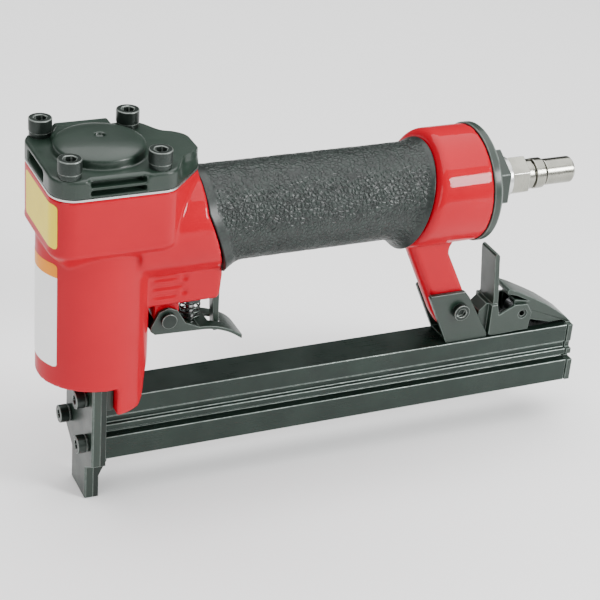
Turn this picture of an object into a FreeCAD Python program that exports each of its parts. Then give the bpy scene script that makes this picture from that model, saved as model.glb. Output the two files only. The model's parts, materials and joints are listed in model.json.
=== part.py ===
import FreeCAD, Part
import Sketcher
import math
import os

# Pneumatic stapler for upholstery. Origin at the staple exit, on the driver axis, at the bottom of the nose.
# X runs to the rear (air plug), Y to the left, Z up. All sizes are in millimetres.

doc = FreeCAD.newDocument("upholstery_stapler")
sheet = doc.addObject("Spreadsheet::Sheet", "Sizes")

# Driving dimensions

sizes = {
    # general clearances and sheet thickness
    "running_gap": 0.3,
    "fit_gap": 0.05,
    "sliding_gap": 0.2,
    # magazine, measured from the bottom of the nose
    "magazine_bottom": 18.2,
    "magazine_top": 42.8,
    "magazine_front": 1.4,
    "magazine_length": 202.6,
    "upper_half": 7.8,
    "groove_half": 7.1,
    "bead_half": 9.0,
    "lower_half": 11.0,
    "magazine_wall": 1.1,
    "channel_half": 6.5,
    "panel_height": 7.7,
    "bead_top": 32.1,
    "bead_height": 2.5,
    "lower_height": 9.7,
    "lip_reach": 3.4,
    "hook_slot_half": 3.8,
    "hook_slot_front": 163.0,
    # movable rail inside the magazine
    "rail_wall": 1.2,
    "rail_height": 6.7,
    "core_half": 5.2,
    "core_top_gap": 1.1,
    "end_plate_thick": 2.4,
    "end_plate_edge": 0.4,
    # pusher on the core
    "pusher_length": 22.0,
    "pusher_skirt": 13.0,
    "pusher_wall": 0.75,
    "roll_radius": 3.6,
    # nose
    "nose_half": 16.5,
    "nose_tip_half": 8.5,
    "nose_step_top": 19.2,
    "nose_step_bottom": 14.0,
    "nose_top": 54.0,
    "front_plate_thick": 3.4,
    "guide_plate_thick": 2.3,
    "blade_thick": 1.1,
    "blade_width": 12.5,
    "blade_gap": 0.15,
    "heel_reach": 3.1,
    "heel_bottom": 9.5,
    "nose_block_thick": 2.8,
    "nose_block_rear": 16.0,
    # nose screws
    "nose_head_radius": 3.5,
    "nose_head_height": 3.6,
    "nose_shank_radius": 2.0,
    "nose_washer_radius": 3.4,
    "nose_washer_thick": 1.0,
    "nose_upper_spread": 8.6,
    "nose_upper_rise": 2.6,
    "nose_upper_height": "=magazine_top + nose_upper_rise",
    "nose_lower_spread": 11.0,
    "nose_lower_height": 27.2,
    # barrel and head
    "barrel_radius": 20.0,
    "barrel_shift": 1.0,
    "barrel_bottom": 54.0,
    "cheek_bottom": 42.4,
    "cheek_front": 4.5,
    "cheek_slot_half": 8.1,
    "cheek_corner": 7.0,
    "head_half": 22.7,
    "head_front": 20.7,
    "head_rear": 22.0,
    "head_bottom": 105.0,
    "head_chamfer": 7.0,
    "head_top": 133.4,
    "head_corner": 9.0,
    "lobe_centre": 25.5,
    "lobe_radius": 13.5,
    "gasket_thick": 0.8,
    "cap_flange": 7.0,
    "cap_centre": 2.0,
    "dome_radius": 16.4,
    "dome_height": 6.2,
    "dome_wall": 2.6,
    "dimple_radius": 1.9,
    # cap screws
    "cap_screw_x": 16.2,
    "cap_screw_edge": 4.9,
    "cap_screw_y": "=head_half - cap_screw_edge",
    "cap_head_radius": 4.25,
    "cap_head_height": 5.0,
    "cap_shank_radius": 2.5,
    "cap_screw_depth": 12.0,
    "cap_washer_radius": 4.05,
    "cap_washer_thick": 1.8,
    # cylinder, piston and driver
    "bore_radius": 16.05,
    "floor_thick": 6.0,
    "sleeve_outer": 16.0,
    "sleeve_inner": 13.4,
    "sleeve_top": 121.0,
    "valve_bore": 18.3,
    "seal_wire": 0.85,
    "bumper_height": 7.4,
    "bumper_bore": 7.6,
    "piston_height": 8.0,
    "piston_stroke": 42.5,
    "blade_root": 6.0,
    "driver_rest": 43.6,
    "driver_pin_radius": 1.25,
    "valve_disc": 5.0,
    "valve_hub_radius": 5.6,
    "valve_hub_height": 4.6,
    "valve_spring_radius": 7.6,
    "valve_spring_wire": 1.2,
    "spring_seat_depth": 4.0,
    # handle and grip
    "handle_axis": 111.4,
    "tube_radius": 15.4,
    "air_bore": 11.5,
    "air_bore_front": 20.0,
    "neck_radius": 20.3,
    "neck_top_x": 37.5,
    "neck_break_z": 119.5,
    "neck_bottom_x": 48.8,
    "neck_top_z": 131.7,
    "neck_bottom_z": 86.0,
    "grip_radius": 18.5,
    "grip_front_radius": 20.6,
    "grip_rear_radius": 22.0,
    "grip_front_drop": 1.2,
    "grip_rear_drop": 2.6,
    "grip_bore_gap": 0.1,
    "collar_top_x": 131.8,
    "collar_low_x": 120.6,
    "collar_rear": 151.2,
    "collar_radius": "=head_half",
    "collar_bore": 19.4,
    "collar_rounding": 3.0,
    "collar_bore_front": 138.0,
    # trigger block
    "block_half": 11.5,
    "block_front": 12.0,
    "block_rear": 46.4,
    "block_bottom": 81.0,
    "block_top": 104.0,
    "block_rib_depth": 0.9,
    "rib_bottom": 64.0,
    "rib_rear": 19.0,
    "rib_half": 6.0,
    # rear leg and bracket
    "leg_half": 4.5,
    "leg_front_top": 127.4,
    "leg_rear_top": 146.0,
    "leg_front_low": 141.4,
    "leg_chamfer": 2.4,
    "leg_rounding": 1.2,
    "leg_rear_low": 158.3,
    "leg_top": 86.0,
    "leg_low": 56.0,
    "leg_end": 49.5,
    "bracket_half": 6.8,
    "bracket_wall": 2.0,
    "bracket_base": 2.0,
    "bracket_top": 65.5,
    "bracket_front_low": 147.5,
    "bracket_rear_low": 166.0,
    "bracket_front_top": 137.8,
    "bracket_rear_top": 153.6,
    "bracket_screw_x": 151.8,
    "bracket_screw_z": 57.3,
    "bracket_screw_radius": 2.0,
    "bracket_head_radius": 3.4,
    "bracket_head_height": 2.6,
    "bracket_nut_flat": 7.0,
    "bracket_nut_height": 3.2,
    # end cap and air plug
    "end_ring_radius": 23.2,
    "end_ring_thick": 3.0,
    "spigot_radius": 19.2,
    "spigot_length": 8.0,
    "hex_boss_flat": 21.0,
    "hex_boss_rear": 165.0,
    "plug_washer_radius": 8.0,
    "plug_washer_thick": 3.2,
    "plug_hex_flat": 14.0,
    "plug_hex_length": 7.6,
    "plug_neck_radius": 6.0,
    "plug_neck_length": 3.0,
    "plug_groove_radius": 4.6,
    "plug_groove_length": 1.1,
    "plug_collar_radius": 6.1,
    "plug_collar_length": 4.0,
    "plug_tube_radius": 5.25,
    "plug_tube_length": 12.0,
    "plug_bore": 3.5,
    "plug_thread_radius": 5.0,
    "plug_thread_length": 9.0,
    # trigger
    "pivot_x": 27.4,
    "pivot_z": 73.2,
    "pin_radius": 2.0,
    "pin_head_radius": 3.0,
    "pin_head_thick": 1.4,
    "trigger_half": 7.6,
    "trigger_sheet": 1.3,
    "ear_half": 5.6,
    "ear_radius": 5.0,
    "blade_tip_x": 58.2,
    "blade_corner": 2.2,
    "blade_bend_x": 40.0,
    "blade_bend_radius": 26.0,
    "trigger_web_bottom": 66.8,
    "trigger_front": 20.8,
    "stem_x": 38.6,
    "stem_radius": 1.6,
    "stem_lash": 0.5,
    "valve_body_radius": 6.5,
    "valve_body_height": 16.0,
    "valve_collar_radius": 4.4,
    "valve_collar_height": 4.0,
    "trigger_spring_radius": 3.7,
    "trigger_spring_wire": 0.7,
    "hook_x": 47.4,
    "hook_thick": 2.0,
    "hook_half": 2.1,
    "hook_bottom": 62.2,
    # latch and pull handle
    "latch_pivot_x": 181.7,
    "latch_pivot_z": 51.1,
    "latch_pin_radius": 1.9,
    "tab_front": 165.6,
    "tab_thick": 2.3,
    "tab_half": 5.8,
    "tab_lean": 2.2,
    "tooth_half": 3.4,
    "tab_top": 80.0,
    "latch_half": 7.0,
    "latch_sheet": 1.3,
    "ear_sheet": 1.2,
    "handle_half": 5.4,
    "ramp_front_x": 174.2,
    "ramp_front_z": 62.4,
    "pin_bore": 1.1,
}

for row, (alias, value) in enumerate(sizes.items(), start=1):
    sheet.set(f"A{row}", alias)
    sheet.set(f"B{row}", str(value))
    sheet.setAlias(f"B{row}", alias)
doc.recompute()


def size(alias):
    return float(sheet.get(alias))


# Small helpers that keep the description of each piece short

kept = []


def keep(piece, label):
    piece.Label = label
    kept.append(piece)
    return piece


def bind(piece, **links):
    for name, expression in links.items():
        piece.setExpression(name.replace("__", "."), expression)
    return piece


def stand(piece, x="0", y="0", z="0"):
    piece.setExpression("Placement.Base.x", x)
    piece.setExpression("Placement.Base.y", y)
    piece.setExpression("Placement.Base.z", z)
    return piece


turns = {
    "Z": FreeCAD.Rotation(),
    "-Z": FreeCAD.Rotation(FreeCAD.Vector(1, 0, 0), 180),
    "X": FreeCAD.Rotation(FreeCAD.Vector(0, 1, 0), 90),
    "-X": FreeCAD.Rotation(FreeCAD.Vector(0, 1, 0), -90),
    "Y": FreeCAD.Rotation(FreeCAD.Vector(1, 0, 0), -90),
    "-Y": FreeCAD.Rotation(FreeCAD.Vector(1, 0, 0), 90),
}


def rod(name, radius, length, x="0", y="0", z="0", along="Z"):
    piece = doc.addObject("Part::Cylinder", name)
    piece.Placement = FreeCAD.Placement(FreeCAD.Vector(), turns[along])
    bind(piece, Radius=radius, Height=length)
    return stand(piece, x, y, z)


def block(name, length, width, height, x="0", y="0", z="0"):
    piece = doc.addObject("Part::Box", name)
    bind(piece, Length=length, Width=width, Height=height)
    return stand(piece, x, y, z)


def cone(name, low_radius, high_radius, length, x="0", y="0", z="0", along="Z"):
    piece = doc.addObject("Part::Cone", name)
    piece.Placement = FreeCAD.Placement(FreeCAD.Vector(), turns[along])
    bind(piece, Radius1=low_radius, Radius2=high_radius, Height=length)
    return stand(piece, x, y, z)


def hexagon(name, flat, length, x="0", y="0", z="0", along="Z"):
    piece = doc.addObject("Part::Prism", name)
    piece.Polygon = 6
    piece.Placement = FreeCAD.Placement(FreeCAD.Vector(), turns[along])
    bind(piece, Circumradius=f"({flat}) / sqrt(3)", Height=length)
    return stand(piece, x, y, z)


def ring(name, radius, wire, x="0", y="0", z="0", along="Z"):
    piece = doc.addObject("Part::Torus", name)
    piece.Placement = FreeCAD.Placement(FreeCAD.Vector(), turns[along])
    bind(piece, Radius1=radius, Radius2=wire)
    return stand(piece, x, y, z)


def cut(name, base, tool):
    piece = doc.addObject("Part::Cut", name)
    piece.Base = base
    piece.Tool = tool
    return piece


def fuse(name, pieces):
    piece = doc.addObject("Part::MultiFuse", name)
    piece.Shapes = pieces
    return piece


def group(name, pieces):
    piece = doc.addObject("Part::Compound", name)
    piece.Links = pieces
    return piece


def plain_body(name):
    return doc.addObject("PartDesign::Body", name)


def new_body(name):
    return keep(plain_body(name + "_body"), name)


def origin_plane(body, role):
    return [feature for feature in body.Origin.OriginFeatures if feature.Role == role][0]


def flat_sketch(body, name, role, offset=None):
    sketch = body.newObject("Sketcher::SketchObject", name)
    sketch.AttachmentSupport = [(origin_plane(body, role), "")]
    sketch.MapMode = "FlatFace"
    if offset:
        sketch.setExpression("AttachmentOffset.Base.z", offset)
    return sketch


def outline(body, name, role, corners, offset=None):
    """Closed outline whose corners are pairs of expressions, measured from the origin."""
    sketch = flat_sketch(body, name, role, offset)
    count = len(corners)
    start = []
    for index in range(count):
        turn = 2 * math.pi * index / count
        start.append(FreeCAD.Vector(math.cos(turn), math.sin(turn), 0))
    sides = []
    for index in range(count):
        sides.append(Part.LineSegment(start[index], start[(index + 1) % count]))
    sketch.addGeometry(sides, False)
    for index in range(count):
        sketch.addConstraint(Sketcher.Constraint("Coincident", index, 2, (index + 1) % count, 1))
    for index, (across, up) in enumerate(corners):
        for kind, expression, value in (
            ("DistanceX", across, start[index].x),
            ("DistanceY", up, start[index].y),
        ):
            number = sketch.addConstraint(Sketcher.Constraint(kind, -1, 1, index, 1, value))
            sketch.setExpression(f"Constraints[{number}]", expression)
    return sketch


def disc(body, name, role, radius, across="0", up="0", offset=None):
    """Circle whose centre and radius are expressions."""
    sketch = flat_sketch(body, name, role, offset)
    sketch.addGeometry(Part.Circle(FreeCAD.Vector(1, 1, 0), FreeCAD.Vector(0, 0, 1), 2), False)
    for kind, expression in (("DistanceX", across), ("DistanceY", up)):
        number = sketch.addConstraint(Sketcher.Constraint(kind, -1, 1, 0, 3, 1.0))
        sketch.setExpression(f"Constraints[{number}]", expression)
    number = sketch.addConstraint(Sketcher.Constraint("Radius", 0, 2.0))
    sketch.setExpression(f"Constraints[{number}]", radius)
    return sketch


def pad(body, name, sketch, length, middle=False, backwards=False):
    feature = body.newObject("PartDesign::Pad", name)
    feature.Profile = sketch
    feature.Midplane = middle
    feature.Reversed = backwards
    feature.setExpression("Length", length)
    sketch.Visibility = False
    doc.recompute()
    return feature


def pocket(body, name, sketch, length, middle=False, backwards=False):
    before = body.Shape.Volume
    feature = body.newObject("PartDesign::Pocket", name)
    feature.Profile = sketch
    feature.Midplane = middle
    feature.Reversed = backwards
    feature.setExpression("Length", length)
    doc.recompute()
    if not body.Shape.Volume < before:
        raise ValueError(f"{name} removes nothing")
    return feature


def bevel(body, kind, name, size_name, expression, chosen):
    """Fillet or chamfer on the edges of the body's tip that the test picks."""
    base = body.Tip
    edges = []
    for number, edge in enumerate(base.Shape.Edges, start=1):
        if chosen(edge):
            edges.append(f"Edge{number}")
    feature = body.newObject(f"PartDesign::{kind}", name)
    feature.Base = (base, edges)
    feature.setExpression(size_name, expression)
    doc.recompute()
    return feature


def round_edges(body, name, radius, chosen):
    return bevel(body, "Fillet", name, "Radius", radius, chosen)


def chamfer_edges(body, name, width, chosen):
    return bevel(body, "Chamfer", name, "Size", width, chosen)


def upright(edge, level):
    box = edge.BoundBox
    return abs(box.ZMin - level) < 0.01 and box.ZLength > 0.1 and box.XLength < 0.01 and box.YLength < 0.01


def at_height(edge, height):
    box = edge.BoundBox
    return abs(box.ZMin - height) < 0.01 and abs(box.ZMax - height) < 0.01


# Springs: one unbroken wire along biarcs of a quarter turn

def biarc(start, start_way, end, end_way):
    chord = end - start
    ways = start_way + end_way
    spread = 2 * (1 - start_way.dot(end_way))
    along = chord.dot(ways)
    reach = (-along + math.sqrt(along * along + spread * chord.dot(chord))) / spread
    joint = (start + end + (start_way - end_way) * reach) * 0.5
    return [bow(start, start_way, joint), bow(end, end_way * -1, joint)]


def bow(start, way, end):
    chord = end - start
    half = chord.Length / 2
    line = FreeCAD.Vector(chord).normalize()
    side = way - line * way.dot(line)
    turn = math.acos(max(-1.0, min(1.0, way.dot(line))))
    middle = (start + end) * 0.5 + side.normalize() * half * math.tan(turn / 2)
    return Part.Arc(start, middle, end).toShape()


def coil(radius, wire, bottom, top, curls, name):
    """Helical wire between two heights, with both ends straight for one wire diameter."""
    quarters = 4 * curls
    quarter_length = radius * math.pi / 2
    lead = wire / quarter_length
    rise = (top - bottom - wire) / (quarters + 2 * lead)
    first_height = bottom + wire / 2 + rise * lead
    points = []
    ways = []
    for step in range(quarters + 1):
        turn = math.pi / 2 * step
        points.append(FreeCAD.Vector(radius * math.cos(turn), radius * math.sin(turn), first_height + rise * step))
        way = FreeCAD.Vector(-math.sin(turn), math.cos(turn), rise / quarter_length)
        ways.append(way.normalize())
    foot = points[0] - ways[0] * wire
    tip = points[-1] + ways[-1] * wire
    edges = [Part.LineSegment(foot, points[0]).toShape()]
    for step in range(quarters):
        first, second = biarc(points[step], ways[step], points[step + 1], ways[step + 1])
        edges.append(first)
        edges.append(second)
    edges.append(Part.LineSegment(points[-1], tip).toShape())
    path = Part.Wire(Part.__sortEdges__(edges))
    section = Part.Wire([Part.Circle(foot, ways[0], wire / 2).toShape()])
    shape = path.makePipeShell([section], True, False)
    print(name, "least gap between curls", round(4 * rise - wire, 2), "mm")
    return shape


def spring(label, radius, wire, bottom, top, curls, x=0.0):
    piece = doc.addObject("Part::Feature", label)
    piece.Shape = coil(radius, wire, bottom, top, curls, label)
    piece.Placement = FreeCAD.Placement(FreeCAD.Vector(x, 0, 0), FreeCAD.Rotation())
    return keep(piece, label)


# Housing: one casting with head, barrel, trigger block, handle tube, collar, front cheeks and rear leg

head_plan = [
    ("-Sizes.head_front", "-Sizes.head_half"),
    ("Sizes.head_rear", "-Sizes.head_half"),
    ("Sizes.lobe_centre + Sizes.lobe_radius * 0.866", "-Sizes.lobe_radius * 0.5"),
    ("Sizes.lobe_centre + Sizes.lobe_radius * 0.866", "Sizes.lobe_radius * 0.5"),
    ("Sizes.head_rear", "Sizes.head_half"),
    ("-Sizes.head_front", "Sizes.head_half"),
]


def head_shape(body, name, bottom, height):
    plan = outline(body, name + "_plan", "XY_Plane", head_plan, bottom)
    pad(body, name + "_block", plan, height)
    front = -size("head_front")
    level = plan.AttachmentOffset.Base.z
    round_edges(body, name + "_front_corners", "Sizes.head_corner",
                lambda edge: upright(edge, level) and abs(edge.BoundBox.XMin - front) < 0.01)
    round_edges(body, name + "_rear_corners", "Sizes.head_corner * 0.8",
                lambda edge: upright(edge, level) and edge.BoundBox.XMin > size("head_rear") - 0.01)


def make_housing():
    body = new_body("housing")
    add_trigger_block(body)
    add_rear_leg(body)
    head_shape(body, "head", "Sizes.head_bottom", "Sizes.head_top - Sizes.head_bottom")
    bottom = size("head_bottom")
    chamfer_edges(body, "head_underside", "Sizes.head_chamfer", lambda edge: at_height(edge, bottom))
    barrel = disc(body, "barrel_circle", "XY_Plane", "Sizes.barrel_radius", "Sizes.barrel_shift", "0",
                  "Sizes.cheek_bottom")
    pad(body, "barrel", barrel, "Sizes.head_top - Sizes.cheek_bottom")
    mouth = outline(body, "barrel_mouth_outline", "XZ_Plane", [
        ("-Sizes.barrel_radius * 2", "Sizes.cheek_bottom - 5"),
        ("Sizes.cheek_front", "Sizes.cheek_bottom - 5"),
        ("Sizes.cheek_front", "Sizes.barrel_bottom"),
        ("-Sizes.barrel_radius * 2", "Sizes.barrel_bottom"),
    ])
    pocket(body, "barrel_mouth", mouth, "Sizes.barrel_radius * 3", True)
    corner = outline(body, "cheek_corner_outline", "XZ_Plane", [
        ("Sizes.barrel_shift + Sizes.barrel_radius - Sizes.cheek_corner", "Sizes.cheek_bottom"),
        ("Sizes.barrel_shift + Sizes.barrel_radius + 1", "Sizes.cheek_bottom"),
        ("Sizes.barrel_shift + Sizes.barrel_radius + 1", "Sizes.barrel_bottom + Sizes.cheek_corner"),
        ("Sizes.barrel_shift + Sizes.barrel_radius - Sizes.cheek_corner * 0.5", "Sizes.barrel_bottom"),
        ("Sizes.barrel_shift + Sizes.barrel_radius - Sizes.cheek_corner * 0.7", "Sizes.cheek_bottom + 3"),
    ])
    pocket(body, "cheek_corner", corner, "Sizes.barrel_radius * 3", True)
    slot = outline(body, "cheek_slot_outline", "YZ_Plane", [
        ("-Sizes.cheek_slot_half", "Sizes.cheek_bottom - 1"),
        ("Sizes.cheek_slot_half", "Sizes.cheek_bottom - 1"),
        ("Sizes.cheek_slot_half", "Sizes.barrel_bottom"),
        ("-Sizes.cheek_slot_half", "Sizes.barrel_bottom"),
    ])
    pocket(body, "cheek_slot", slot, "Sizes.barrel_radius * 3", True)
    add_handle(body)
    add_trigger_ear(body)
    bore_housing(body)
    return body


def collar_plane(share):
    """Point on the slanted front of the collar, at a share of its radius above the handle's axis."""
    middle = "(Sizes.collar_top_x + Sizes.collar_low_x) / 2"
    reach = "(Sizes.collar_top_x - Sizes.collar_low_x) / 2"
    return f"{middle} + {reach} * {share}", f"Sizes.handle_axis + Sizes.collar_radius * {share}"


def add_handle(body):
    neck = disc(body, "neck_circle", "YZ_Plane", "Sizes.neck_radius", "0", "Sizes.handle_axis",
                "Sizes.air_bore_front - 8")
    pad(body, "neck", neck, "Sizes.neck_bottom_x - Sizes.air_bore_front + 12")
    slant = outline(body, "neck_slant_outline", "XZ_Plane", [
        ("Sizes.neck_top_x", "Sizes.neck_break_z"),
        ("Sizes.neck_top_x", "Sizes.neck_top_z + 11"),
        ("Sizes.neck_bottom_x + 20", "Sizes.neck_top_z + 11"),
        ("Sizes.neck_bottom_x + 20", "Sizes.neck_bottom_z"),
        ("Sizes.neck_bottom_x", "Sizes.neck_bottom_z"),
    ])
    pocket(body, "neck_slant", slant, "Sizes.neck_radius * 3", True)
    collar = disc(body, "collar_circle", "YZ_Plane", "Sizes.collar_radius", "0", "Sizes.handle_axis",
                  "Sizes.collar_low_x - 1")
    pad(body, "collar", collar, "Sizes.collar_rear - Sizes.collar_low_x + 1")
    front = outline(body, "collar_slant_outline", "XZ_Plane", [
        ("Sizes.collar_low_x - 5", "Sizes.handle_axis - Sizes.collar_radius * 1.2"),
        collar_plane(-1.2),
        collar_plane(1.2),
        ("Sizes.collar_low_x - 5", "Sizes.handle_axis + Sizes.collar_radius * 1.2"),
    ])
    pocket(body, "collar_slant", front, "Sizes.collar_radius * 3", True)
    low = size("collar_low_x")
    high = size("collar_top_x")
    round_edges(body, "collar_rounding", "Sizes.collar_rounding",
                lambda edge: abs(edge.BoundBox.XMin - low) < 0.1 and abs(edge.BoundBox.XMax - high) < 0.1
                and edge.BoundBox.YLength > 1.9 * size("collar_radius"))
    tube = disc(body, "tube_circle", "YZ_Plane", "Sizes.tube_radius", "0", "Sizes.handle_axis",
                "Sizes.air_bore_front + 8")
    pad(body, "tube", tube, "Sizes.collar_top_x - Sizes.air_bore_front")


def add_trigger_block(body):
    side = outline(body, "trigger_block_outline", "XZ_Plane", [
        ("Sizes.block_front", "Sizes.block_bottom"),
        ("Sizes.block_rear - 1", "Sizes.block_bottom"),
        ("Sizes.block_rear", "Sizes.block_bottom + 2"),
        ("Sizes.block_rear + 1.2", "Sizes.block_top - 6"),
        ("Sizes.block_rear - 3", "Sizes.block_top"),
        ("Sizes.block_front", "Sizes.block_top"),
    ])
    pad(body, "trigger_block", side, "Sizes.block_half * 2", True)
    bottom = size("block_bottom")
    half = size("block_half")
    rear = size("block_rear")
    round_edges(body, "trigger_block_rounding", "2.4",
                lambda edge: abs(abs(edge.BoundBox.Center.y) - half) < 0.01 and edge.BoundBox.YLength < 0.01
                and edge.BoundBox.XMax > rear - 1.5 and edge.BoundBox.ZMin < bottom + 16)
    for number in range(3):
        low = f"Sizes.block_bottom + 4 + {number} * 3.6"
        groove = outline(body, f"side_groove_{number}_outline", "XZ_Plane", [
            ("Sizes.block_front + 7", low),
            (f"Sizes.block_front + {17 + 2 * (number % 2)}", low),
            (f"Sizes.block_front + {17 + 2 * (number % 2)}", low + " + 1.7"),
            ("Sizes.block_front + 7", low + " + 1.7"),
        ], "Sizes.block_half - Sizes.block_rib_depth")
        pocket(body, f"side_groove_{number}", groove, "Sizes.block_half", False, True)
        far_groove = outline(body, f"far_groove_{number}_outline", "XZ_Plane", [
            ("Sizes.block_front + 7", low),
            (f"Sizes.block_front + {17 + 2 * (number % 2)}", low),
            (f"Sizes.block_front + {17 + 2 * (number % 2)}", low + " + 1.7"),
            ("Sizes.block_front + 7", low + " + 1.7"),
        ], "-Sizes.block_half + Sizes.block_rib_depth")
        pocket(body, f"far_groove_{number}", far_groove, "Sizes.block_half", False, False)


def add_trigger_ear(body):
    rib = outline(body, "front_rib_outline", "XZ_Plane", [
        ("Sizes.block_front", "Sizes.rib_bottom + 3"),
        ("Sizes.rib_rear - 2.5", "Sizes.rib_bottom"),
        ("Sizes.rib_rear", "Sizes.rib_bottom + 2.5"),
        ("Sizes.rib_rear", "Sizes.block_bottom + 1"),
        ("Sizes.block_front", "Sizes.block_bottom + 1"),
    ])
    pad(body, "front_rib", rib, "Sizes.rib_half * 2", True)
    ear = outline(body, "trigger_ear_outline", "XZ_Plane", [
        ("Sizes.pivot_x - Sizes.ear_radius", "Sizes.block_bottom + 1"),
        ("Sizes.pivot_x - Sizes.ear_radius", "Sizes.pivot_z"),
        ("Sizes.pivot_x - Sizes.ear_radius * 0.55", "Sizes.pivot_z - Sizes.ear_radius * 0.8"),
        ("Sizes.pivot_x + Sizes.ear_radius * 0.55", "Sizes.pivot_z - Sizes.ear_radius * 0.8"),
        ("Sizes.pivot_x + Sizes.ear_radius", "Sizes.pivot_z"),
        ("Sizes.pivot_x + Sizes.ear_radius", "Sizes.block_bottom + 1"),
    ])
    pad(body, "trigger_ear", ear, "Sizes.ear_half * 2", True)
    hole = disc(body, "trigger_pin_circle", "XZ_Plane", "Sizes.pin_radius + Sizes.fit_gap", "Sizes.pivot_x",
                "Sizes.pivot_z")
    pocket(body, "trigger_pin_hole", hole, "Sizes.ear_half * 3", True)


def add_rear_leg(body):
    side = outline(body, "leg_outline", "XZ_Plane", [
        ("Sizes.leg_front_top + 5", "Sizes.leg_top + 8"),
        ("Sizes.leg_front_top - 1.4", "Sizes.leg_top + 4"),
        ("Sizes.leg_front_low", "Sizes.leg_low"),
        ("Sizes.leg_front_low + 4", "Sizes.leg_end"),
        ("Sizes.leg_rear_low - 1", "Sizes.leg_end"),
        ("Sizes.leg_rear_low", "Sizes.leg_low"),
        ("Sizes.leg_rear_top - 0.8", "Sizes.leg_top - 3"),
        ("Sizes.leg_rear_top - 0.6", "Sizes.leg_top - 0.6"),
        ("Sizes.leg_rear_top + 0.8", "Sizes.leg_top + 1.6"),
        ("Sizes.collar_rear - 2", "Sizes.leg_top + 6"),
    ])
    pad(body, "rear_leg", side, "Sizes.leg_half * 2", True)
    half = size("leg_half")
    top = size("leg_top")
    front = size("leg_front_top") - 1.4
    chamfer_edges(body, "leg_front_chamfer", "Sizes.leg_chamfer",
                  lambda edge: abs(abs(edge.BoundBox.Center.y) - half) < 0.01 and edge.BoundBox.YLength < 0.01
                  and edge.BoundBox.ZLength > 20 and abs(edge.BoundBox.XMin - front) < 0.01)
    round_edges(body, "leg_rear_rounding", "Sizes.leg_rounding",
                lambda edge: abs(abs(edge.BoundBox.Center.y) - half) < 0.01 and edge.BoundBox.YLength < 0.01
                and edge.BoundBox.ZLength > 20 and edge.BoundBox.ZMax < top)
    hole = disc(body, "leg_screw_circle", "XZ_Plane", "Sizes.bracket_screw_radius + Sizes.fit_gap",
                "Sizes.bracket_screw_x", "Sizes.bracket_screw_z")
    pocket(body, "leg_screw_hole", hole, "Sizes.leg_half * 3", True)


def bore_housing(body):
    main = disc(body, "cylinder_bore_circle", "XY_Plane", "Sizes.bore_radius", "0", "0",
                "Sizes.barrel_bottom + Sizes.floor_thick")
    pocket(body, "cylinder_bore", main, "Sizes.head_top - Sizes.barrel_bottom", False, True)
    valve = disc(body, "valve_bore_circle", "XY_Plane", "Sizes.valve_bore", "0", "0", "Sizes.sleeve_top")
    pocket(body, "valve_bore", valve, "Sizes.head_top - Sizes.sleeve_top + 1", False, True)
    guide = disc(body, "driver_hole_circle", "XY_Plane", "Sizes.bumper_bore", "0", "0",
                 "Sizes.barrel_bottom - 1")
    pocket(body, "driver_hole", guide, "Sizes.floor_thick + 2", False, True)
    air = disc(body, "air_bore_circle", "YZ_Plane", "Sizes.air_bore", "0", "Sizes.handle_axis",
               "Sizes.air_bore_front")
    pocket(body, "air_bore", air, "Sizes.collar_rear", False, True)
    rear = disc(body, "collar_bore_circle", "YZ_Plane", "Sizes.collar_bore", "0", "Sizes.handle_axis",
                "Sizes.collar_bore_front")
    pocket(body, "collar_bore_cut", rear, "Sizes.collar_rear - Sizes.collar_bore_front + 1", False, True)
    trigger = disc(body, "trigger_valve_circle", "XY_Plane", "Sizes.valve_body_radius + Sizes.fit_gap",
                   "Sizes.stem_x", "0", "Sizes.block_bottom - 1")
    pocket(body, "trigger_valve_bore", trigger, "Sizes.valve_body_height + 5", False, True)
    for number, (across, along) in enumerate(((-1, -1), (-1, 1), (1, -1), (1, 1))):
        hole = disc(body, f"cap_screw_hole_{number}_circle", "XY_Plane", "Sizes.cap_shank_radius + Sizes.fit_gap",
                    f"Sizes.cap_centre + {across} * Sizes.cap_screw_x", f"{along} * Sizes.cap_screw_y",
                    "Sizes.head_top - Sizes.cap_screw_depth - 1")
        pocket(body, f"cap_screw_hole_{number}", hole, "Sizes.cap_screw_depth + 3", False, True)


# Cylinder cap and its gasket

def make_gasket():
    body = new_body("cap_gasket")
    head_shape(body, "gasket", "Sizes.head_top", "Sizes.gasket_thick")
    inner = disc(body, "gasket_bore_circle", "XY_Plane", "Sizes.valve_bore", "0", "0", "Sizes.head_top - 1")
    pocket(body, "gasket_bore", inner, "Sizes.gasket_thick + 2", False, True)
    drill_cap_screws(body, "gasket", "Sizes.head_top - 1", "Sizes.gasket_thick + 2")
    return body


def drill_cap_screws(body, name, bottom, depth):
    for number, (across, along) in enumerate(((-1, -1), (-1, 1), (1, -1), (1, 1))):
        hole = disc(body, f"{name}_hole_{number}_circle", "XY_Plane", "Sizes.cap_shank_radius + Sizes.fit_gap",
                    f"Sizes.cap_centre + {across} * Sizes.cap_screw_x", f"{along} * Sizes.cap_screw_y", bottom)
        pocket(body, f"{name}_hole_{number}", hole, depth, False, True)


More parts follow.
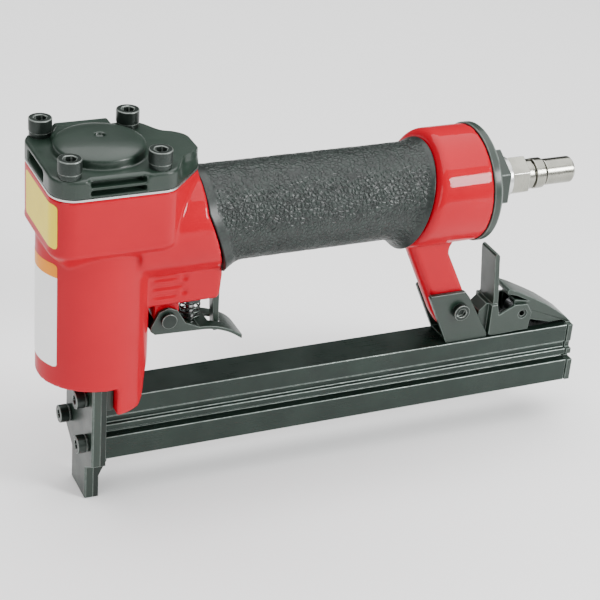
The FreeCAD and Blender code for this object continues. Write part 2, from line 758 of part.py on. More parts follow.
def make_cap():
    body = new_body("cylinder_cap")
    bottom = "Sizes.head_top + Sizes.gasket_thick"
    top = "Sizes.head_top + Sizes.gasket_thick + Sizes.cap_flange"
    head_shape(body, "cap", bottom, "Sizes.cap_flange")
    level = size("head_top") + size("gasket_thick") + size("cap_flange")
    round_edges(body, "cap_top_rounding", "1.2", lambda edge: at_height(edge, level))
    add_dome(body, top)
    vent_rows = (0.9, 3.9)
    for side in (-1, 1):
        for row, low in enumerate(vent_rows):
            face = "Sizes.head_half - 4" if side < 0 else "-Sizes.head_half + 4"
            vent = outline(body, f"vent_{side + 1}_{row}_outline", "XZ_Plane", [
                ("Sizes.cap_centre - 10", f"{bottom} + {low}"),
                ("Sizes.cap_centre + 10", f"{bottom} + {low}"),
                ("Sizes.cap_centre + 10", f"{bottom} + {low + 2.0}"),
                ("Sizes.cap_centre - 10", f"{bottom} + {low + 2.0}"),
            ], face)
            pocket(body, f"vent_{side + 1}_{row}", vent, "6", False, side < 0)
    notch = outline(body, "front_notch_outline", "YZ_Plane", [
        ("-8", f"{bottom} + 1.2"),
        ("11", f"{bottom} + 1.2"),
        ("11", f"{bottom} + 5.2"),
        ("-8", f"{bottom} + 5.2"),
    ], "-Sizes.head_front + 3.5")
    pocket(body, "front_notch", notch, "6", False, False)
    seat = disc(body, "spring_seat_circle", "XY_Plane", "Sizes.valve_spring_radius + 2", "0", "0",
                f"{bottom} - 1")
    pocket(body, "spring_seat", seat, "Sizes.spring_seat_depth + 1", False, True)
    drill_cap_screws(body, "cap", f"{bottom} - 1", "Sizes.cap_flange + 3")
    return body


def add_dome(body, top):
    ridge = outline(body, "dome_ridge_plan", "XY_Plane", [
        ("Sizes.cap_centre - 3", "6"),
        ("Sizes.cap_centre - 2", "14.5"),
        ("Sizes.cap_centre - Sizes.cap_screw_x + 6.5", "Sizes.cap_screw_y + 2.4"),
        ("Sizes.cap_centre - Sizes.cap_screw_x + 2", "Sizes.cap_screw_y - 5.6"),
        ("Sizes.cap_centre - Sizes.cap_screw_x + 1", "3"),
    ], top + " - 0.5")
    pad(body, "dome_ridge", ridge, "Sizes.dome_height * 0.55")
    level = size("head_top") + size("gasket_thick") + size("cap_flange") + size("dome_height") * 0.55 - 0.5
    round_edges(body, "dome_ridge_rounding", "1.6", lambda edge: at_height(edge, level))
    wall = disc(body, "dome_circle", "XY_Plane", "Sizes.dome_radius", "Sizes.cap_centre", "0", top + " - 0.5")
    pad(body, "dome_side", wall, "Sizes.dome_wall + 0.5")
    dome = body.newObject("PartDesign::AdditiveEllipsoid", "dome")
    dome.AttachmentSupport = [(origin_plane(body, "XY_Plane"), "")]
    dome.MapMode = "FlatFace"
    bind(dome, Radius1="Sizes.dome_height - Sizes.dome_wall", Radius2="Sizes.dome_radius",
         Radius3="Sizes.dome_radius")
    dome.Angle1 = 0
    dome.setExpression("AttachmentOffset.Base.x", "Sizes.cap_centre")
    dome.setExpression("AttachmentOffset.Base.z", top + " + Sizes.dome_wall")
    doc.recompute()
    dimple = disc(body, "dimple_circle", "XY_Plane", "Sizes.dimple_radius", "Sizes.cap_centre", "0",
                  top + " + Sizes.dome_height - 1.3")
    pocket(body, "dimple", dimple, "4", False, True)


def screw(name, head_radius, head_height, shank_radius, shank_length, place, along):
    """Socket head screw whose head points back along the given way and whose shank goes forward."""
    x, y, z, step = place
    head = rod(name + "_head", head_radius, head_height, along=along, **step(x, y, z, f"-({head_height})"))
    shank = rod(name + "_shank", shank_radius, shank_length, along=along, **step(x, y, z, "0"))
    socket = hexagon(name + "_socket", f"({head_radius}) * 1.0", f"({head_height}) * 0.6", along=along,
                     **step(x, y, z, f"-({head_height})"))
    whole = fuse(name + "_whole", [head, shank])
    return cut(name, whole, socket)


def step_down(x, y, z, distance):
    return {"x": x, "y": y, "z": f"{z} - ({distance})"}


def step_rear(x, y, z, distance):
    return {"x": f"{x} + ({distance})", "y": y, "z": z}


def step_left(x, y, z, distance):
    return {"x": x, "y": f"{y} + ({distance})", "z": z}


def make_cap_screws():
    screws = []
    washers = []
    flange = "Sizes.head_top + Sizes.gasket_thick + Sizes.cap_flange"
    seat = flange + " + Sizes.cap_washer_thick"
    for number, (across, along) in enumerate(((-1, -1), (-1, 1), (1, -1), (1, 1))):
        x = f"Sizes.cap_centre + {across} * Sizes.cap_screw_x"
        y = f"{along} * Sizes.cap_screw_y"
        shank = "Sizes.cap_washer_thick + Sizes.cap_flange + Sizes.gasket_thick + Sizes.cap_screw_depth"
        screws.append(screw(f"cap_screw_{number}", "Sizes.cap_head_radius", "Sizes.cap_head_height",
                            "Sizes.cap_shank_radius", shank, (x, y, seat, step_down), "-Z"))
        outer = rod(f"cap_washer_{number}_disc", "Sizes.cap_washer_radius", "Sizes.cap_washer_thick", x, y, flange)
        inner = rod(f"cap_washer_{number}_bore", "Sizes.cap_shank_radius + Sizes.fit_gap",
                    "Sizes.cap_washer_thick * 3", x, y, flange + " - Sizes.cap_washer_thick")
        washers.append(cut(f"cap_washer_{number}", outer, inner))
    keep(group("cap_screw_group", screws), "cap_screws")
    keep(group("cap_washer_group", washers), "cap_spring_washers")


# Cylinder sleeve, piston, driver, bumper and head valve

sleeve_bottom = "Sizes.barrel_bottom + Sizes.floor_thick"
seal_levels = ("Sizes.barrel_bottom + Sizes.floor_thick + 5", "Sizes.sleeve_top - 6")


def make_sleeve():
    outer = rod("sleeve_tube", "Sizes.sleeve_outer", f"Sizes.sleeve_top - ({sleeve_bottom})", z=sleeve_bottom)
    inner = rod("sleeve_bore", "Sizes.sleeve_inner", "Sizes.sleeve_top", z=f"{sleeve_bottom} - 1")
    grooves = []
    seals = []
    for number, level in enumerate(seal_levels):
        groove = rod(f"sleeve_groove_{number}_disc", "Sizes.sleeve_outer + 1", "Sizes.seal_wire * 2 + 0.2",
                     z=f"{level} - Sizes.seal_wire - 0.1")
        core = rod(f"sleeve_groove_{number}_core", "Sizes.sleeve_outer - Sizes.seal_wire * 2 - 0.1",
                   "Sizes.seal_wire * 4", z=f"{level} - Sizes.seal_wire * 2")
        grooves.append(cut(f"sleeve_groove_{number}", groove, core))
        seals.append(ring(f"sleeve_seal_{number}", "Sizes.sleeve_outer - Sizes.seal_wire - 0.05",
                          "Sizes.seal_wire", z=level))
    keep(cut("sleeve", outer, fuse("sleeve_cuts", [inner] + grooves)), "cylinder_sleeve")
    keep(group("sleeve_seals", seals), "sleeve_o_rings")


piston_bottom = "Sizes.barrel_bottom + Sizes.floor_thick + Sizes.bumper_height + Sizes.piston_stroke + 0.5"


def make_piston():
    radius = "Sizes.sleeve_inner - Sizes.running_gap"
    outer = rod("piston_disc", radius, "Sizes.piston_height", z=piston_bottom)
    groove_disc = rod("piston_groove_disc", "Sizes.sleeve_inner", "Sizes.seal_wire * 2 + 0.2",
                      z=f"{piston_bottom} + Sizes.piston_height / 2 - Sizes.seal_wire - 0.1")
    groove_core = rod("piston_groove_core", f"{radius} - Sizes.seal_wire * 2 - 0.1", "Sizes.seal_wire * 4",
                      z=f"{piston_bottom} + Sizes.piston_height / 2 - Sizes.seal_wire * 2")
    groove = cut("piston_groove", groove_disc, groove_core)
    slot = block("piston_blade_slot", "Sizes.blade_thick + Sizes.fit_gap * 2", "Sizes.blade_width + Sizes.fit_gap * 2",
                 "Sizes.blade_root + Sizes.fit_gap", "-Sizes.blade_thick / 2 - Sizes.fit_gap",
                 "-Sizes.blade_width / 2 - Sizes.fit_gap", piston_bottom)
    pin = rod("piston_pin_hole", "Sizes.driver_pin_radius + Sizes.fit_gap", "Sizes.sleeve_inner", along="X",
              x="-Sizes.sleeve_inner / 2", z=f"{piston_bottom} + 2")
    dish = cone("piston_dish", "5", "9", "2.2", z=f"{piston_bottom} + Sizes.piston_height - 2.1")
    keep(cut("piston_body", outer, fuse("piston_cuts", [groove, slot, pin, dish])), "piston")
    keep(ring("piston_seal", f"{radius} - Sizes.seal_wire - 0.05", "Sizes.seal_wire",
              z=f"{piston_bottom} + Sizes.piston_height / 2"), "piston_o_ring")
    blade = block("driver_strip", "Sizes.blade_thick", "Sizes.blade_width",
                  f"{piston_bottom} + Sizes.blade_root - Sizes.driver_rest", "-Sizes.blade_thick / 2",
                  "-Sizes.blade_width / 2", "Sizes.driver_rest")
    blade_hole = rod("driver_pin_bore", "Sizes.driver_pin_radius + Sizes.fit_gap", "10", along="X",
                     x="-5", z=f"{piston_bottom} + 2")
    keep(cut("driver_part", blade, blade_hole), "driver_blade")
    keep(rod("driver_pin_rod", "Sizes.driver_pin_radius", "Sizes.sleeve_inner * 0.9", along="X",
             x="-Sizes.sleeve_inner * 0.45", z=f"{piston_bottom} + 2"), "driver_pin")


def make_bumper():
    outer = rod("bumper_disc", "Sizes.sleeve_inner - 0.2", "Sizes.bumper_height", z=sleeve_bottom)
    hole = rod("bumper_hole", "Sizes.bumper_bore", "Sizes.bumper_height * 2", z=f"{sleeve_bottom} - 1")
    keep(cut("bumper_ring", outer, hole), "bumper")


def make_head_valve():
    radius = "Sizes.valve_bore - Sizes.running_gap"
    level = "Sizes.sleeve_top + Sizes.running_gap"
    plate = rod("head_valve_disc", radius, "Sizes.valve_disc", z=level)
    hub = rod("head_valve_hub", "Sizes.valve_hub_radius", "Sizes.valve_hub_height", z=f"{level} + Sizes.valve_disc")
    dish = rod("head_valve_dish", "Sizes.sleeve_inner - 2", "1.5", z=f"{level} - 0.2")
    keep(cut("head_valve_body", fuse("head_valve_whole", [plate, hub]), dish), "head_valve")
    bottom = size("sleeve_top") + size("running_gap") + size("valve_disc") + size("fit_gap")
    top = size("head_top") + size("gasket_thick") + size("spring_seat_depth") - size("fit_gap")
    spring("head_valve_spring", size("valve_spring_radius"), size("valve_spring_wire"), bottom, top, 5)


# Nose: front plate, driver guide plate, block behind them, screws and washers

front_face = "-Sizes.blade_thick / 2 - Sizes.blade_gap - Sizes.front_plate_thick"
guide_face = "-Sizes.blade_thick / 2 - Sizes.blade_gap"
nose_plan = [
    ("-Sizes.nose_tip_half", "0"),
    ("Sizes.nose_tip_half", "0"),
    ("Sizes.nose_tip_half", "Sizes.nose_step_bottom"),
    ("Sizes.nose_half", "Sizes.nose_step_top"),
    ("Sizes.nose_half", "Sizes.nose_top"),
    ("-Sizes.nose_half", "Sizes.nose_top"),
    ("-Sizes.nose_half", "Sizes.nose_step_top"),
    ("-Sizes.nose_tip_half", "Sizes.nose_step_bottom"),
]
nose_screws = (
    ("-Sizes.nose_upper_spread", "Sizes.nose_upper_height"),
    ("Sizes.nose_upper_spread", "Sizes.nose_upper_height"),
    ("-Sizes.nose_lower_spread", "Sizes.nose_lower_height"),
    ("Sizes.nose_lower_spread", "Sizes.nose_lower_height"),
)


def drill_nose(body, name, offset, depth, places):
    for number, (across, up) in enumerate(places):
        hole = disc(body, f"{name}_hole_{number}_circle", "YZ_Plane", "Sizes.nose_shank_radius + Sizes.fit_gap",
                    across, up, offset)
        pocket(body, f"{name}_hole_{number}", hole, depth, False, True)


def make_nose():
    front = new_body("nose_front_plate")
    pad(front, "front_plate", outline(front, "front_plate_outline", "YZ_Plane", nose_plan, front_face),
        "Sizes.front_plate_thick")
    face = -size("blade_thick") / 2 - size("blade_gap") - size("front_plate_thick")
    chamfer_edges(front, "front_plate_chamfer", "0.5",
                  lambda edge: abs(edge.BoundBox.XMax - face) < 0.01 and edge.BoundBox.ZMax > 1)
    drill_nose(front, "front_plate", front_face + " - 1", "Sizes.front_plate_thick + 2", nose_screws)

    guide = new_body("driver_guide_plate")
    pad(guide, "guide_plate", outline(guide, "guide_plate_outline", "YZ_Plane", nose_plan, guide_face),
        f"Sizes.magazine_front - ({guide_face})")
    slot = outline(guide, "driver_slot_outline", "YZ_Plane", [
        ("-Sizes.blade_width / 2 - Sizes.blade_gap", "-1"),
        ("Sizes.blade_width / 2 + Sizes.blade_gap", "-1"),
        ("Sizes.blade_width / 2 + Sizes.blade_gap", "Sizes.nose_top + 1"),
        ("-Sizes.blade_width / 2 - Sizes.blade_gap", "Sizes.nose_top + 1"),
    ], guide_face + " - 1")
    pocket(guide, "driver_slot", slot, "Sizes.blade_thick + Sizes.blade_gap * 2 + 1", False, True)
    window = outline(guide, "staple_window_outline", "YZ_Plane", [
        ("-Sizes.channel_half", "Sizes.magazine_bottom + 2"),
        ("Sizes.channel_half", "Sizes.magazine_bottom + 2"),
        ("Sizes.channel_half", "Sizes.magazine_top - Sizes.magazine_wall"),
        ("-Sizes.channel_half", "Sizes.magazine_top - Sizes.magazine_wall"),
    ], guide_face + " - 1")
    pocket(guide, "staple_window", window, "Sizes.guide_plate_thick + 2", False, True)
    heel = outline(guide, "heel_outline", "XZ_Plane", [
        ("Sizes.magazine_front - 0.4", "Sizes.heel_bottom"),
        ("Sizes.magazine_front", "Sizes.heel_bottom"),
        ("Sizes.magazine_front + Sizes.heel_reach", "Sizes.magazine_bottom - 2.4"),
        ("Sizes.magazine_front + Sizes.heel_reach", "Sizes.magazine_bottom"),
        ("Sizes.magazine_front - 0.4", "Sizes.magazine_bottom"),
    ])
    pad(guide, "heel", heel, "Sizes.nose_tip_half * 2", True)
    drill_nose(guide, "guide_plate", guide_face + " - 1", "Sizes.guide_plate_thick + 2", nose_screws)

    base = new_body("nose_block")
    plan = outline(base, "nose_block_outline", "XY_Plane", [
        ("Sizes.magazine_front", "-Sizes.nose_half + 1"),
        ("Sizes.magazine_front + Sizes.nose_block_thick", "-Sizes.nose_half + 1"),
        ("Sizes.magazine_front + Sizes.nose_block_thick", "-Sizes.cheek_slot_half + 0.3"),
        ("Sizes.nose_block_rear", "-Sizes.cheek_slot_half + 0.3"),
        ("Sizes.nose_block_rear", "Sizes.cheek_slot_half - 0.3"),
        ("Sizes.magazine_front + Sizes.nose_block_thick", "Sizes.cheek_slot_half - 0.3"),
        ("Sizes.magazine_front + Sizes.nose_block_thick", "Sizes.nose_half - 1"),
        ("Sizes.magazine_front", "Sizes.nose_half - 1"),
    ], "Sizes.magazine_top")
    pad(base, "nose_block_pad", plan, "Sizes.barrel_bottom - Sizes.magazine_top")
    drill_nose(base, "nose_block", "Sizes.magazine_front - 1", "8", nose_screws[:2])

    screws = []
    washers = []
    seat = front_face + " - Sizes.nose_washer_thick"
    reach = "Sizes.nose_washer_thick + Sizes.front_plate_thick + Sizes.guide_plate_thick"
    for number, (across, up) in enumerate(nose_screws):
        depth = reach + (" + Sizes.nose_block_thick" if number < 2 else " - Sizes.running_gap")
        screws.append(screw(f"nose_screw_{number}", "Sizes.nose_head_radius", "Sizes.nose_head_height",
                            "Sizes.nose_shank_radius", depth, (seat, across, up, step_rear), "X"))
        outer = rod(f"nose_washer_{number}_disc", "Sizes.nose_washer_radius", "Sizes.nose_washer_thick", seat, across,
                    up, "X")
        inner = rod(f"nose_washer_{number}_bore", "Sizes.nose_shank_radius + Sizes.fit_gap",
                    "Sizes.nose_washer_thick * 3", seat + " - Sizes.nose_washer_thick", across, up, "X")
        washers.append(cut(f"nose_washer_{number}", outer, inner))
    keep(group("nose_screw_group", screws), "nose_screws")
    keep(group("nose_washer_group", washers), "nose_washers")


# Magazine: fixed profile, movable rail, staple rail and pusher

def mirrored(half):
    """Outline from its right half, given from top middle to bottom middle."""
    left = [(f"-({across})", up) for across, up in reversed(half)]
    return half + left


profile_outside = [
    ("Sizes.upper_half", "Sizes.magazine_top"),
    ("Sizes.upper_half", "Sizes.magazine_top - Sizes.panel_height"),
    ("Sizes.groove_half", "Sizes.magazine_top - Sizes.panel_height - 0.5"),
    ("Sizes.groove_half", "Sizes.bead_top"),
    ("Sizes.bead_half", "Sizes.bead_top"),
    ("Sizes.bead_half", "Sizes.bead_top - Sizes.bead_height"),
    ("Sizes.groove_half", "Sizes.bead_top - Sizes.bead_height"),
    ("Sizes.groove_half", "Sizes.magazine_bottom + Sizes.lower_height"),
    ("Sizes.lower_half", "Sizes.magazine_bottom + Sizes.lower_height"),
    ("Sizes.lower_half", "Sizes.magazine_bottom"),
]
profile_inside = [
    ("Sizes.lower_half - Sizes.lip_reach", "Sizes.magazine_bottom"),
    ("Sizes.lower_half - Sizes.lip_reach", "Sizes.magazine_bottom + Sizes.magazine_wall"),
    ("Sizes.lower_half - Sizes.magazine_wall", "Sizes.magazine_bottom + Sizes.magazine_wall"),
    ("Sizes.lower_half - Sizes.magazine_wall", "Sizes.magazine_bottom + Sizes.lower_height - Sizes.magazine_wall"),
    ("Sizes.channel_half", "Sizes.magazine_bottom + Sizes.lower_height - Sizes.magazine_wall"),
    ("Sizes.channel_half", "Sizes.magazine_top - Sizes.magazine_wall"),
]
magazine_rear = "Sizes.magazine_front + Sizes.magazine_length"
rail_floor = "Sizes.magazine_bottom + Sizes.magazine_wall + Sizes.running_gap"
core_top = "Sizes.magazine_top - Sizes.magazine_wall - Sizes.core_top_gap"


def make_magazine():
    body = new_body("fixed_magazine")
    section = outline(body, "magazine_section", "YZ_Plane", mirrored(profile_outside + profile_inside),
                      "Sizes.magazine_front")
    pad(body, "magazine_profile", section, "Sizes.magazine_length")
    slot = outline(body, "hook_slot_plan", "XY_Plane", [
        ("Sizes.hook_slot_front", "-Sizes.hook_slot_half"),
        (magazine_rear + " + 1", "-Sizes.hook_slot_half"),
        (magazine_rear + " + 1", "Sizes.hook_slot_half"),
        ("Sizes.hook_slot_front", "Sizes.hook_slot_half"),
    ], "Sizes.magazine_top - Sizes.magazine_wall - 0.5")
    pocket(body, "hook_slot", slot, "Sizes.magazine_wall + 1", False, True)


def make_rail():
    half = "(Sizes.lower_half - Sizes.magazine_wall - Sizes.running_gap)"
    rail = new_body("movable_rail")
    section = outline(rail, "rail_section", "YZ_Plane", [
        (f"-{half}", rail_floor),
        (half, rail_floor),
        (half, f"{rail_floor} + Sizes.rail_height"),
        (f"{half} - Sizes.rail_wall", f"{rail_floor} + Sizes.rail_height"),
        (f"{half} - Sizes.rail_wall", f"{rail_floor} + Sizes.rail_wall"),
        (f"-{half} + Sizes.rail_wall", f"{rail_floor} + Sizes.rail_wall"),
        (f"-{half} + Sizes.rail_wall", f"{rail_floor} + Sizes.rail_height"),
        (f"-{half}", f"{rail_floor} + Sizes.rail_height"),
    ], "Sizes.magazine_front + Sizes.running_gap")
    length = "Sizes.magazine_length"
    pad(rail, "rail_profile", section, length)

    core = new_body("staple_rail")
    core_section = outline(core, "core_section", "YZ_Plane", [
        ("-Sizes.core_half", f"{rail_floor} + Sizes.rail_wall"),
        ("-Sizes.core_half", core_top),
        ("Sizes.core_half", core_top),
        ("Sizes.core_half", f"{rail_floor} + Sizes.rail_wall"),
        ("Sizes.core_half - Sizes.rail_wall", f"{rail_floor} + Sizes.rail_wall"),
        ("Sizes.core_half - Sizes.rail_wall", f"{core_top} - Sizes.rail_wall"),
        ("-Sizes.core_half + Sizes.rail_wall", f"{core_top} - Sizes.rail_wall"),
        ("-Sizes.core_half + Sizes.rail_wall", f"{rail_floor} + Sizes.rail_wall"),
    ], "Sizes.magazine_front + Sizes.running_gap")
    pad(core, "core_profile", core_section, length)

    pusher = new_body("pusher")
    inner = "(Sizes.core_half + Sizes.sliding_gap)"
    pusher_section = outline(pusher, "pusher_section", "YZ_Plane", [
        (f"-{inner} - Sizes.pusher_wall", f"{core_top} - Sizes.pusher_skirt"),
        (f"-{inner} - Sizes.pusher_wall", f"{core_top} + Sizes.sliding_gap + Sizes.pusher_wall * 0.8"),
        (f"{inner} + Sizes.pusher_wall", f"{core_top} + Sizes.sliding_gap + Sizes.pusher_wall * 0.8"),
        (f"{inner} + Sizes.pusher_wall", f"{core_top} - Sizes.pusher_skirt"),
        (inner, f"{core_top} - Sizes.pusher_skirt"),
        (inner, f"{core_top} + Sizes.sliding_gap"),
        (f"-{inner}", f"{core_top} + Sizes.sliding_gap"),
        (f"-{inner}", f"{core_top} - Sizes.pusher_skirt"),
    ], "Sizes.magazine_front + Sizes.running_gap + 1")
    pad(pusher, "pusher_profile", pusher_section, "Sizes.pusher_length")


def make_end_plate():
    handle = new_body("pull_handle")
    edge = "Sizes.end_plate_edge"
    grown = []
    for across, up in profile_outside:
        grown.append((f"{across} + {edge}", up))
    plate = outline(handle, "end_plate_outline", "YZ_Plane", mirrored(grown),
                    magazine_rear + " + Sizes.running_gap")
    pad(handle, "end_plate", plate, "Sizes.end_plate_thick")
    rear = magazine_rear + " + Sizes.running_gap + Sizes.end_plate_thick"
    low = "Sizes.magazine_top"
    ramp = outline(handle, "ramp_outline", "XZ_Plane", [
        (rear, low + " - 3"),
        (rear, low + " + 0.2"),
        (f"{rear} - 2.6", low + " + 2.8"),
        (f"{rear} - 6.4", low + " + 5.6"),
        (f"{rear} - 13", low + " + 10.2"),
        (f"{rear} - 18.6", low + " + 13.4"),
        ("Sizes.ramp_front_x + 5.2", "Sizes.ramp_front_z - 1.6"),
        ("Sizes.ramp_front_x + 1.2", "Sizes.ramp_front_z + 0.2"),
        ("Sizes.ramp_front_x", "Sizes.ramp_front_z - 0.6"),
        ("Sizes.ramp_front_x + 0.4", "Sizes.ramp_front_z - 2"),
        ("Sizes.ramp_front_x + 4.8", "Sizes.ramp_front_z - 3.4"),
        (f"{rear} - 19", low + " + 11.6"),
        (f"{rear} - 14", low + " + 8.5"),
        (f"{rear} - 7.6", low + " + 4"),
        (f"{rear} - 4", low + " + 1.2"),
        (f"{rear} - Sizes.end_plate_thick", low + " + Sizes.running_gap"),
        (f"{rear} - Sizes.end_plate_thick", low + " - 3"),
    ])
    pad(handle, "ramp", ramp, "Sizes.handle_half * 2", True)
    ears = outline(handle, "ear_outline", "XZ_Plane", [
        ("Sizes.latch_pivot_x - 3.6", "Sizes.latch_pivot_z + 2"),
        ("Sizes.latch_pivot_x - 3", "Sizes.latch_pivot_z - 3.6"),
        ("Sizes.latch_pivot_x + 3", "Sizes.latch_pivot_z - 3.6"),
        (f"{rear} - 10", low + " + 1.2"),
        (f"{rear} - 4", low + " + 1.4"),
        (f"{rear} - 7.2", low + " + 4.8"),
        (f"{rear} - 13.6", low + " + 9.2"),
        (f"{rear} - 18.8", low + " + 12.4"),
        ("Sizes.latch_pivot_x - 3.6", "Sizes.ramp_front_z - 5"),
    ])
    pad(handle, "ears", ears, "Sizes.handle_half * 2", True)
    gap = outline(handle, "ear_gap_outline", "XZ_Plane", [
        ("Sizes.latch_pivot_x - 5", "Sizes.latch_pivot_z - 5"),
        (f"{rear} - 10", low + " - 0.6"),
        (f"{rear} - 4.4", low + " + 0.8"),
        (f"{rear} - 8", low + " + 3.6"),
        (f"{rear} - 14.2", low + " + 8"),
        (f"{rear} - 19.2", low + " + 10.6"),
        ("Sizes.latch_pivot_x - 5", "Sizes.ramp_front_z - 5.6"),
    ])
    pocket(handle, "ear_gap", gap, "(Sizes.handle_half - Sizes.ear_sheet) * 2", True)
    hole = disc(handle, "latch_pin_circle", "XZ_Plane", "Sizes.latch_pin_radius + Sizes.fit_gap",
                "Sizes.latch_pivot_x", "Sizes.latch_pivot_z")
    pocket(handle, "latch_pin_hole", hole, "Sizes.handle_half * 3", True)


def make_latch():
    lever = new_body("latch_lever")
    low = "Sizes.magazine_top + Sizes.running_gap"
    cheek = outline(lever, "latch_cheek_outline", "XZ_Plane", [
        ("Sizes.tab_front", low + " + 1"),
        ("Sizes.tab_front + 3", low),
        ("Sizes.latch_pivot_x + 3.6", low + " + 0.5"),
        ("Sizes.latch_pivot_x + 4.4", "Sizes.latch_pivot_z"),
        ("Sizes.latch_pivot_x + 2", "Sizes.latch_pivot_z + 4.2"),
        ("Sizes.latch_pivot_x - 4", "Sizes.latch_pivot_z + 4.6"),
        ("Sizes.tab_front + 5", "Sizes.latch_pivot_z + 1"),
        ("Sizes.tab_front + 4", "Sizes.latch_pivot_z + 6"),
        ("Sizes.tab_front", "Sizes.latch_pivot_z + 6"),
        ("Sizes.tab_front - 3.2", "Sizes.latch_pivot_z + 3"),
        ("Sizes.tab_front - 3.2", "Sizes.latch_pivot_z - 1"),
    ])
    pad(lever, "latch_cheeks", cheek, "Sizes.latch_half * 2", True)
    inside = outline(lever, "latch_inside_outline", "XZ_Plane", [
        ("Sizes.tab_front + Sizes.tab_thick", "Sizes.magazine_top - 2"),
        ("Sizes.latch_pivot_x + 8", "Sizes.magazine_top - 2"),
        ("Sizes.latch_pivot_x + 8", "Sizes.latch_pivot_z + 12"),
        ("Sizes.tab_front + Sizes.tab_thick", "Sizes.latch_pivot_z + 12"),
    ])
    pocket(lever, "latch_inside", inside, "(Sizes.latch_half - Sizes.latch_sheet) * 2", True)
    nose = outline(lever, "latch_nose_trim_outline", "XZ_Plane", [
        ("Sizes.tab_front - 5", "Sizes.magazine_top - 2"),
        ("Sizes.tab_front + 1.2", "Sizes.magazine_top - 2"),
        ("Sizes.tab_front + 1.2", "Sizes.latch_pivot_z + 12"),
        ("Sizes.tab_front - 5", "Sizes.latch_pivot_z + 12"),
    ], "Sizes.tooth_half + 1")
    pocket(lever, "latch_nose_trim", nose, "10", False, True)
    far_nose = outline(lever, "latch_far_trim_outline", "XZ_Plane", [
        ("Sizes.tab_front - 5", "Sizes.magazine_top - 2"),
        ("Sizes.tab_front + 1.2", "Sizes.magazine_top - 2"),
        ("Sizes.tab_front + 1.2", "Sizes.latch_pivot_z + 12"),
        ("Sizes.tab_front - 5", "Sizes.latch_pivot_z + 12"),
    ], "-Sizes.tooth_half - 1")
    pocket(lever, "latch_far_trim", far_nose, "10", False, False)
    tooth = outline(lever, "latch_tooth_outline", "XZ_Plane", [
        ("Sizes.tab_front", "Sizes.magazine_top - 0.9"),
        ("Sizes.tab_front + Sizes.tab_thick", "Sizes.magazine_top - 0.9"),
        ("Sizes.tab_front + Sizes.tab_thick", "Sizes.latch_pivot_z"),
        ("Sizes.tab_front", "Sizes.latch_pivot_z"),
    ])
    pad(lever, "latch_tooth", tooth, "Sizes.tooth_half * 2", True)
    tab = outline(lever, "latch_tab_outline", "XZ_Plane", [
        ("Sizes.tab_front + Sizes.tab_lean - 0.6", low),
        ("Sizes.tab_front + Sizes.tab_lean + Sizes.tab_thick", low),
        ("Sizes.tab_front + Sizes.tab_lean + Sizes.tab_thick", "Sizes.latch_pivot_z + 8"),
        ("Sizes.tab_front + Sizes.tab_thick + 0.2", "Sizes.tab_top - 1"),
        ("Sizes.tab_front + Sizes.tab_thick - 0.6", "Sizes.tab_top"),
        ("Sizes.tab_front + 0.8", "Sizes.tab_top"),
        ("Sizes.tab_front + 0.2", "Sizes.tab_top - 1"),
        ("Sizes.tab_front + Sizes.tab_lean", "Sizes.latch_pivot_z + 8"),
    ])
    pad(lever, "latch_tab", tab, "Sizes.tab_half * 2", True)
    hole = disc(lever, "latch_bore_circle", "XZ_Plane", "Sizes.latch_pin_radius + Sizes.fit_gap",
                "Sizes.latch_pivot_x", "Sizes.latch_pivot_z")
    pocket(lever, "latch_bore", hole, "Sizes.latch_half * 3", True)
    pin = rod("latch_pin_rod", "Sizes.latch_pin_radius", "Sizes.latch_half * 2 - 0.8", along="Y",
              x="Sizes.latch_pivot_x", y="-Sizes.latch_half + 0.4", z="Sizes.latch_pivot_z")
    hollow = rod("latch_pin_hollow", "Sizes.pin_bore", "Sizes.latch_half * 2", along="Y",
                 x="Sizes.latch_pivot_x", y="-Sizes.latch_half", z="Sizes.latch_pivot_z")
    keep(cut("latch_pin_tube", pin, hollow), "latch_pin")
    barrel = rod("latch_spring_disc", "Sizes.latch_pin_radius + 1.4", "5", along="Y", x="Sizes.latch_pivot_x",
                 y="-2.5", z="Sizes.latch_pivot_z")
    bore = rod("latch_spring_bore", "Sizes.latch_pin_radius + Sizes.fit_gap", "10", along="Y",
               x="Sizes.latch_pivot_x", y="-5", z="Sizes.latch_pivot_z")
    keep(cut("latch_spring_ring", barrel, bore), "latch_spring")


# Rear bracket, its screw and nut

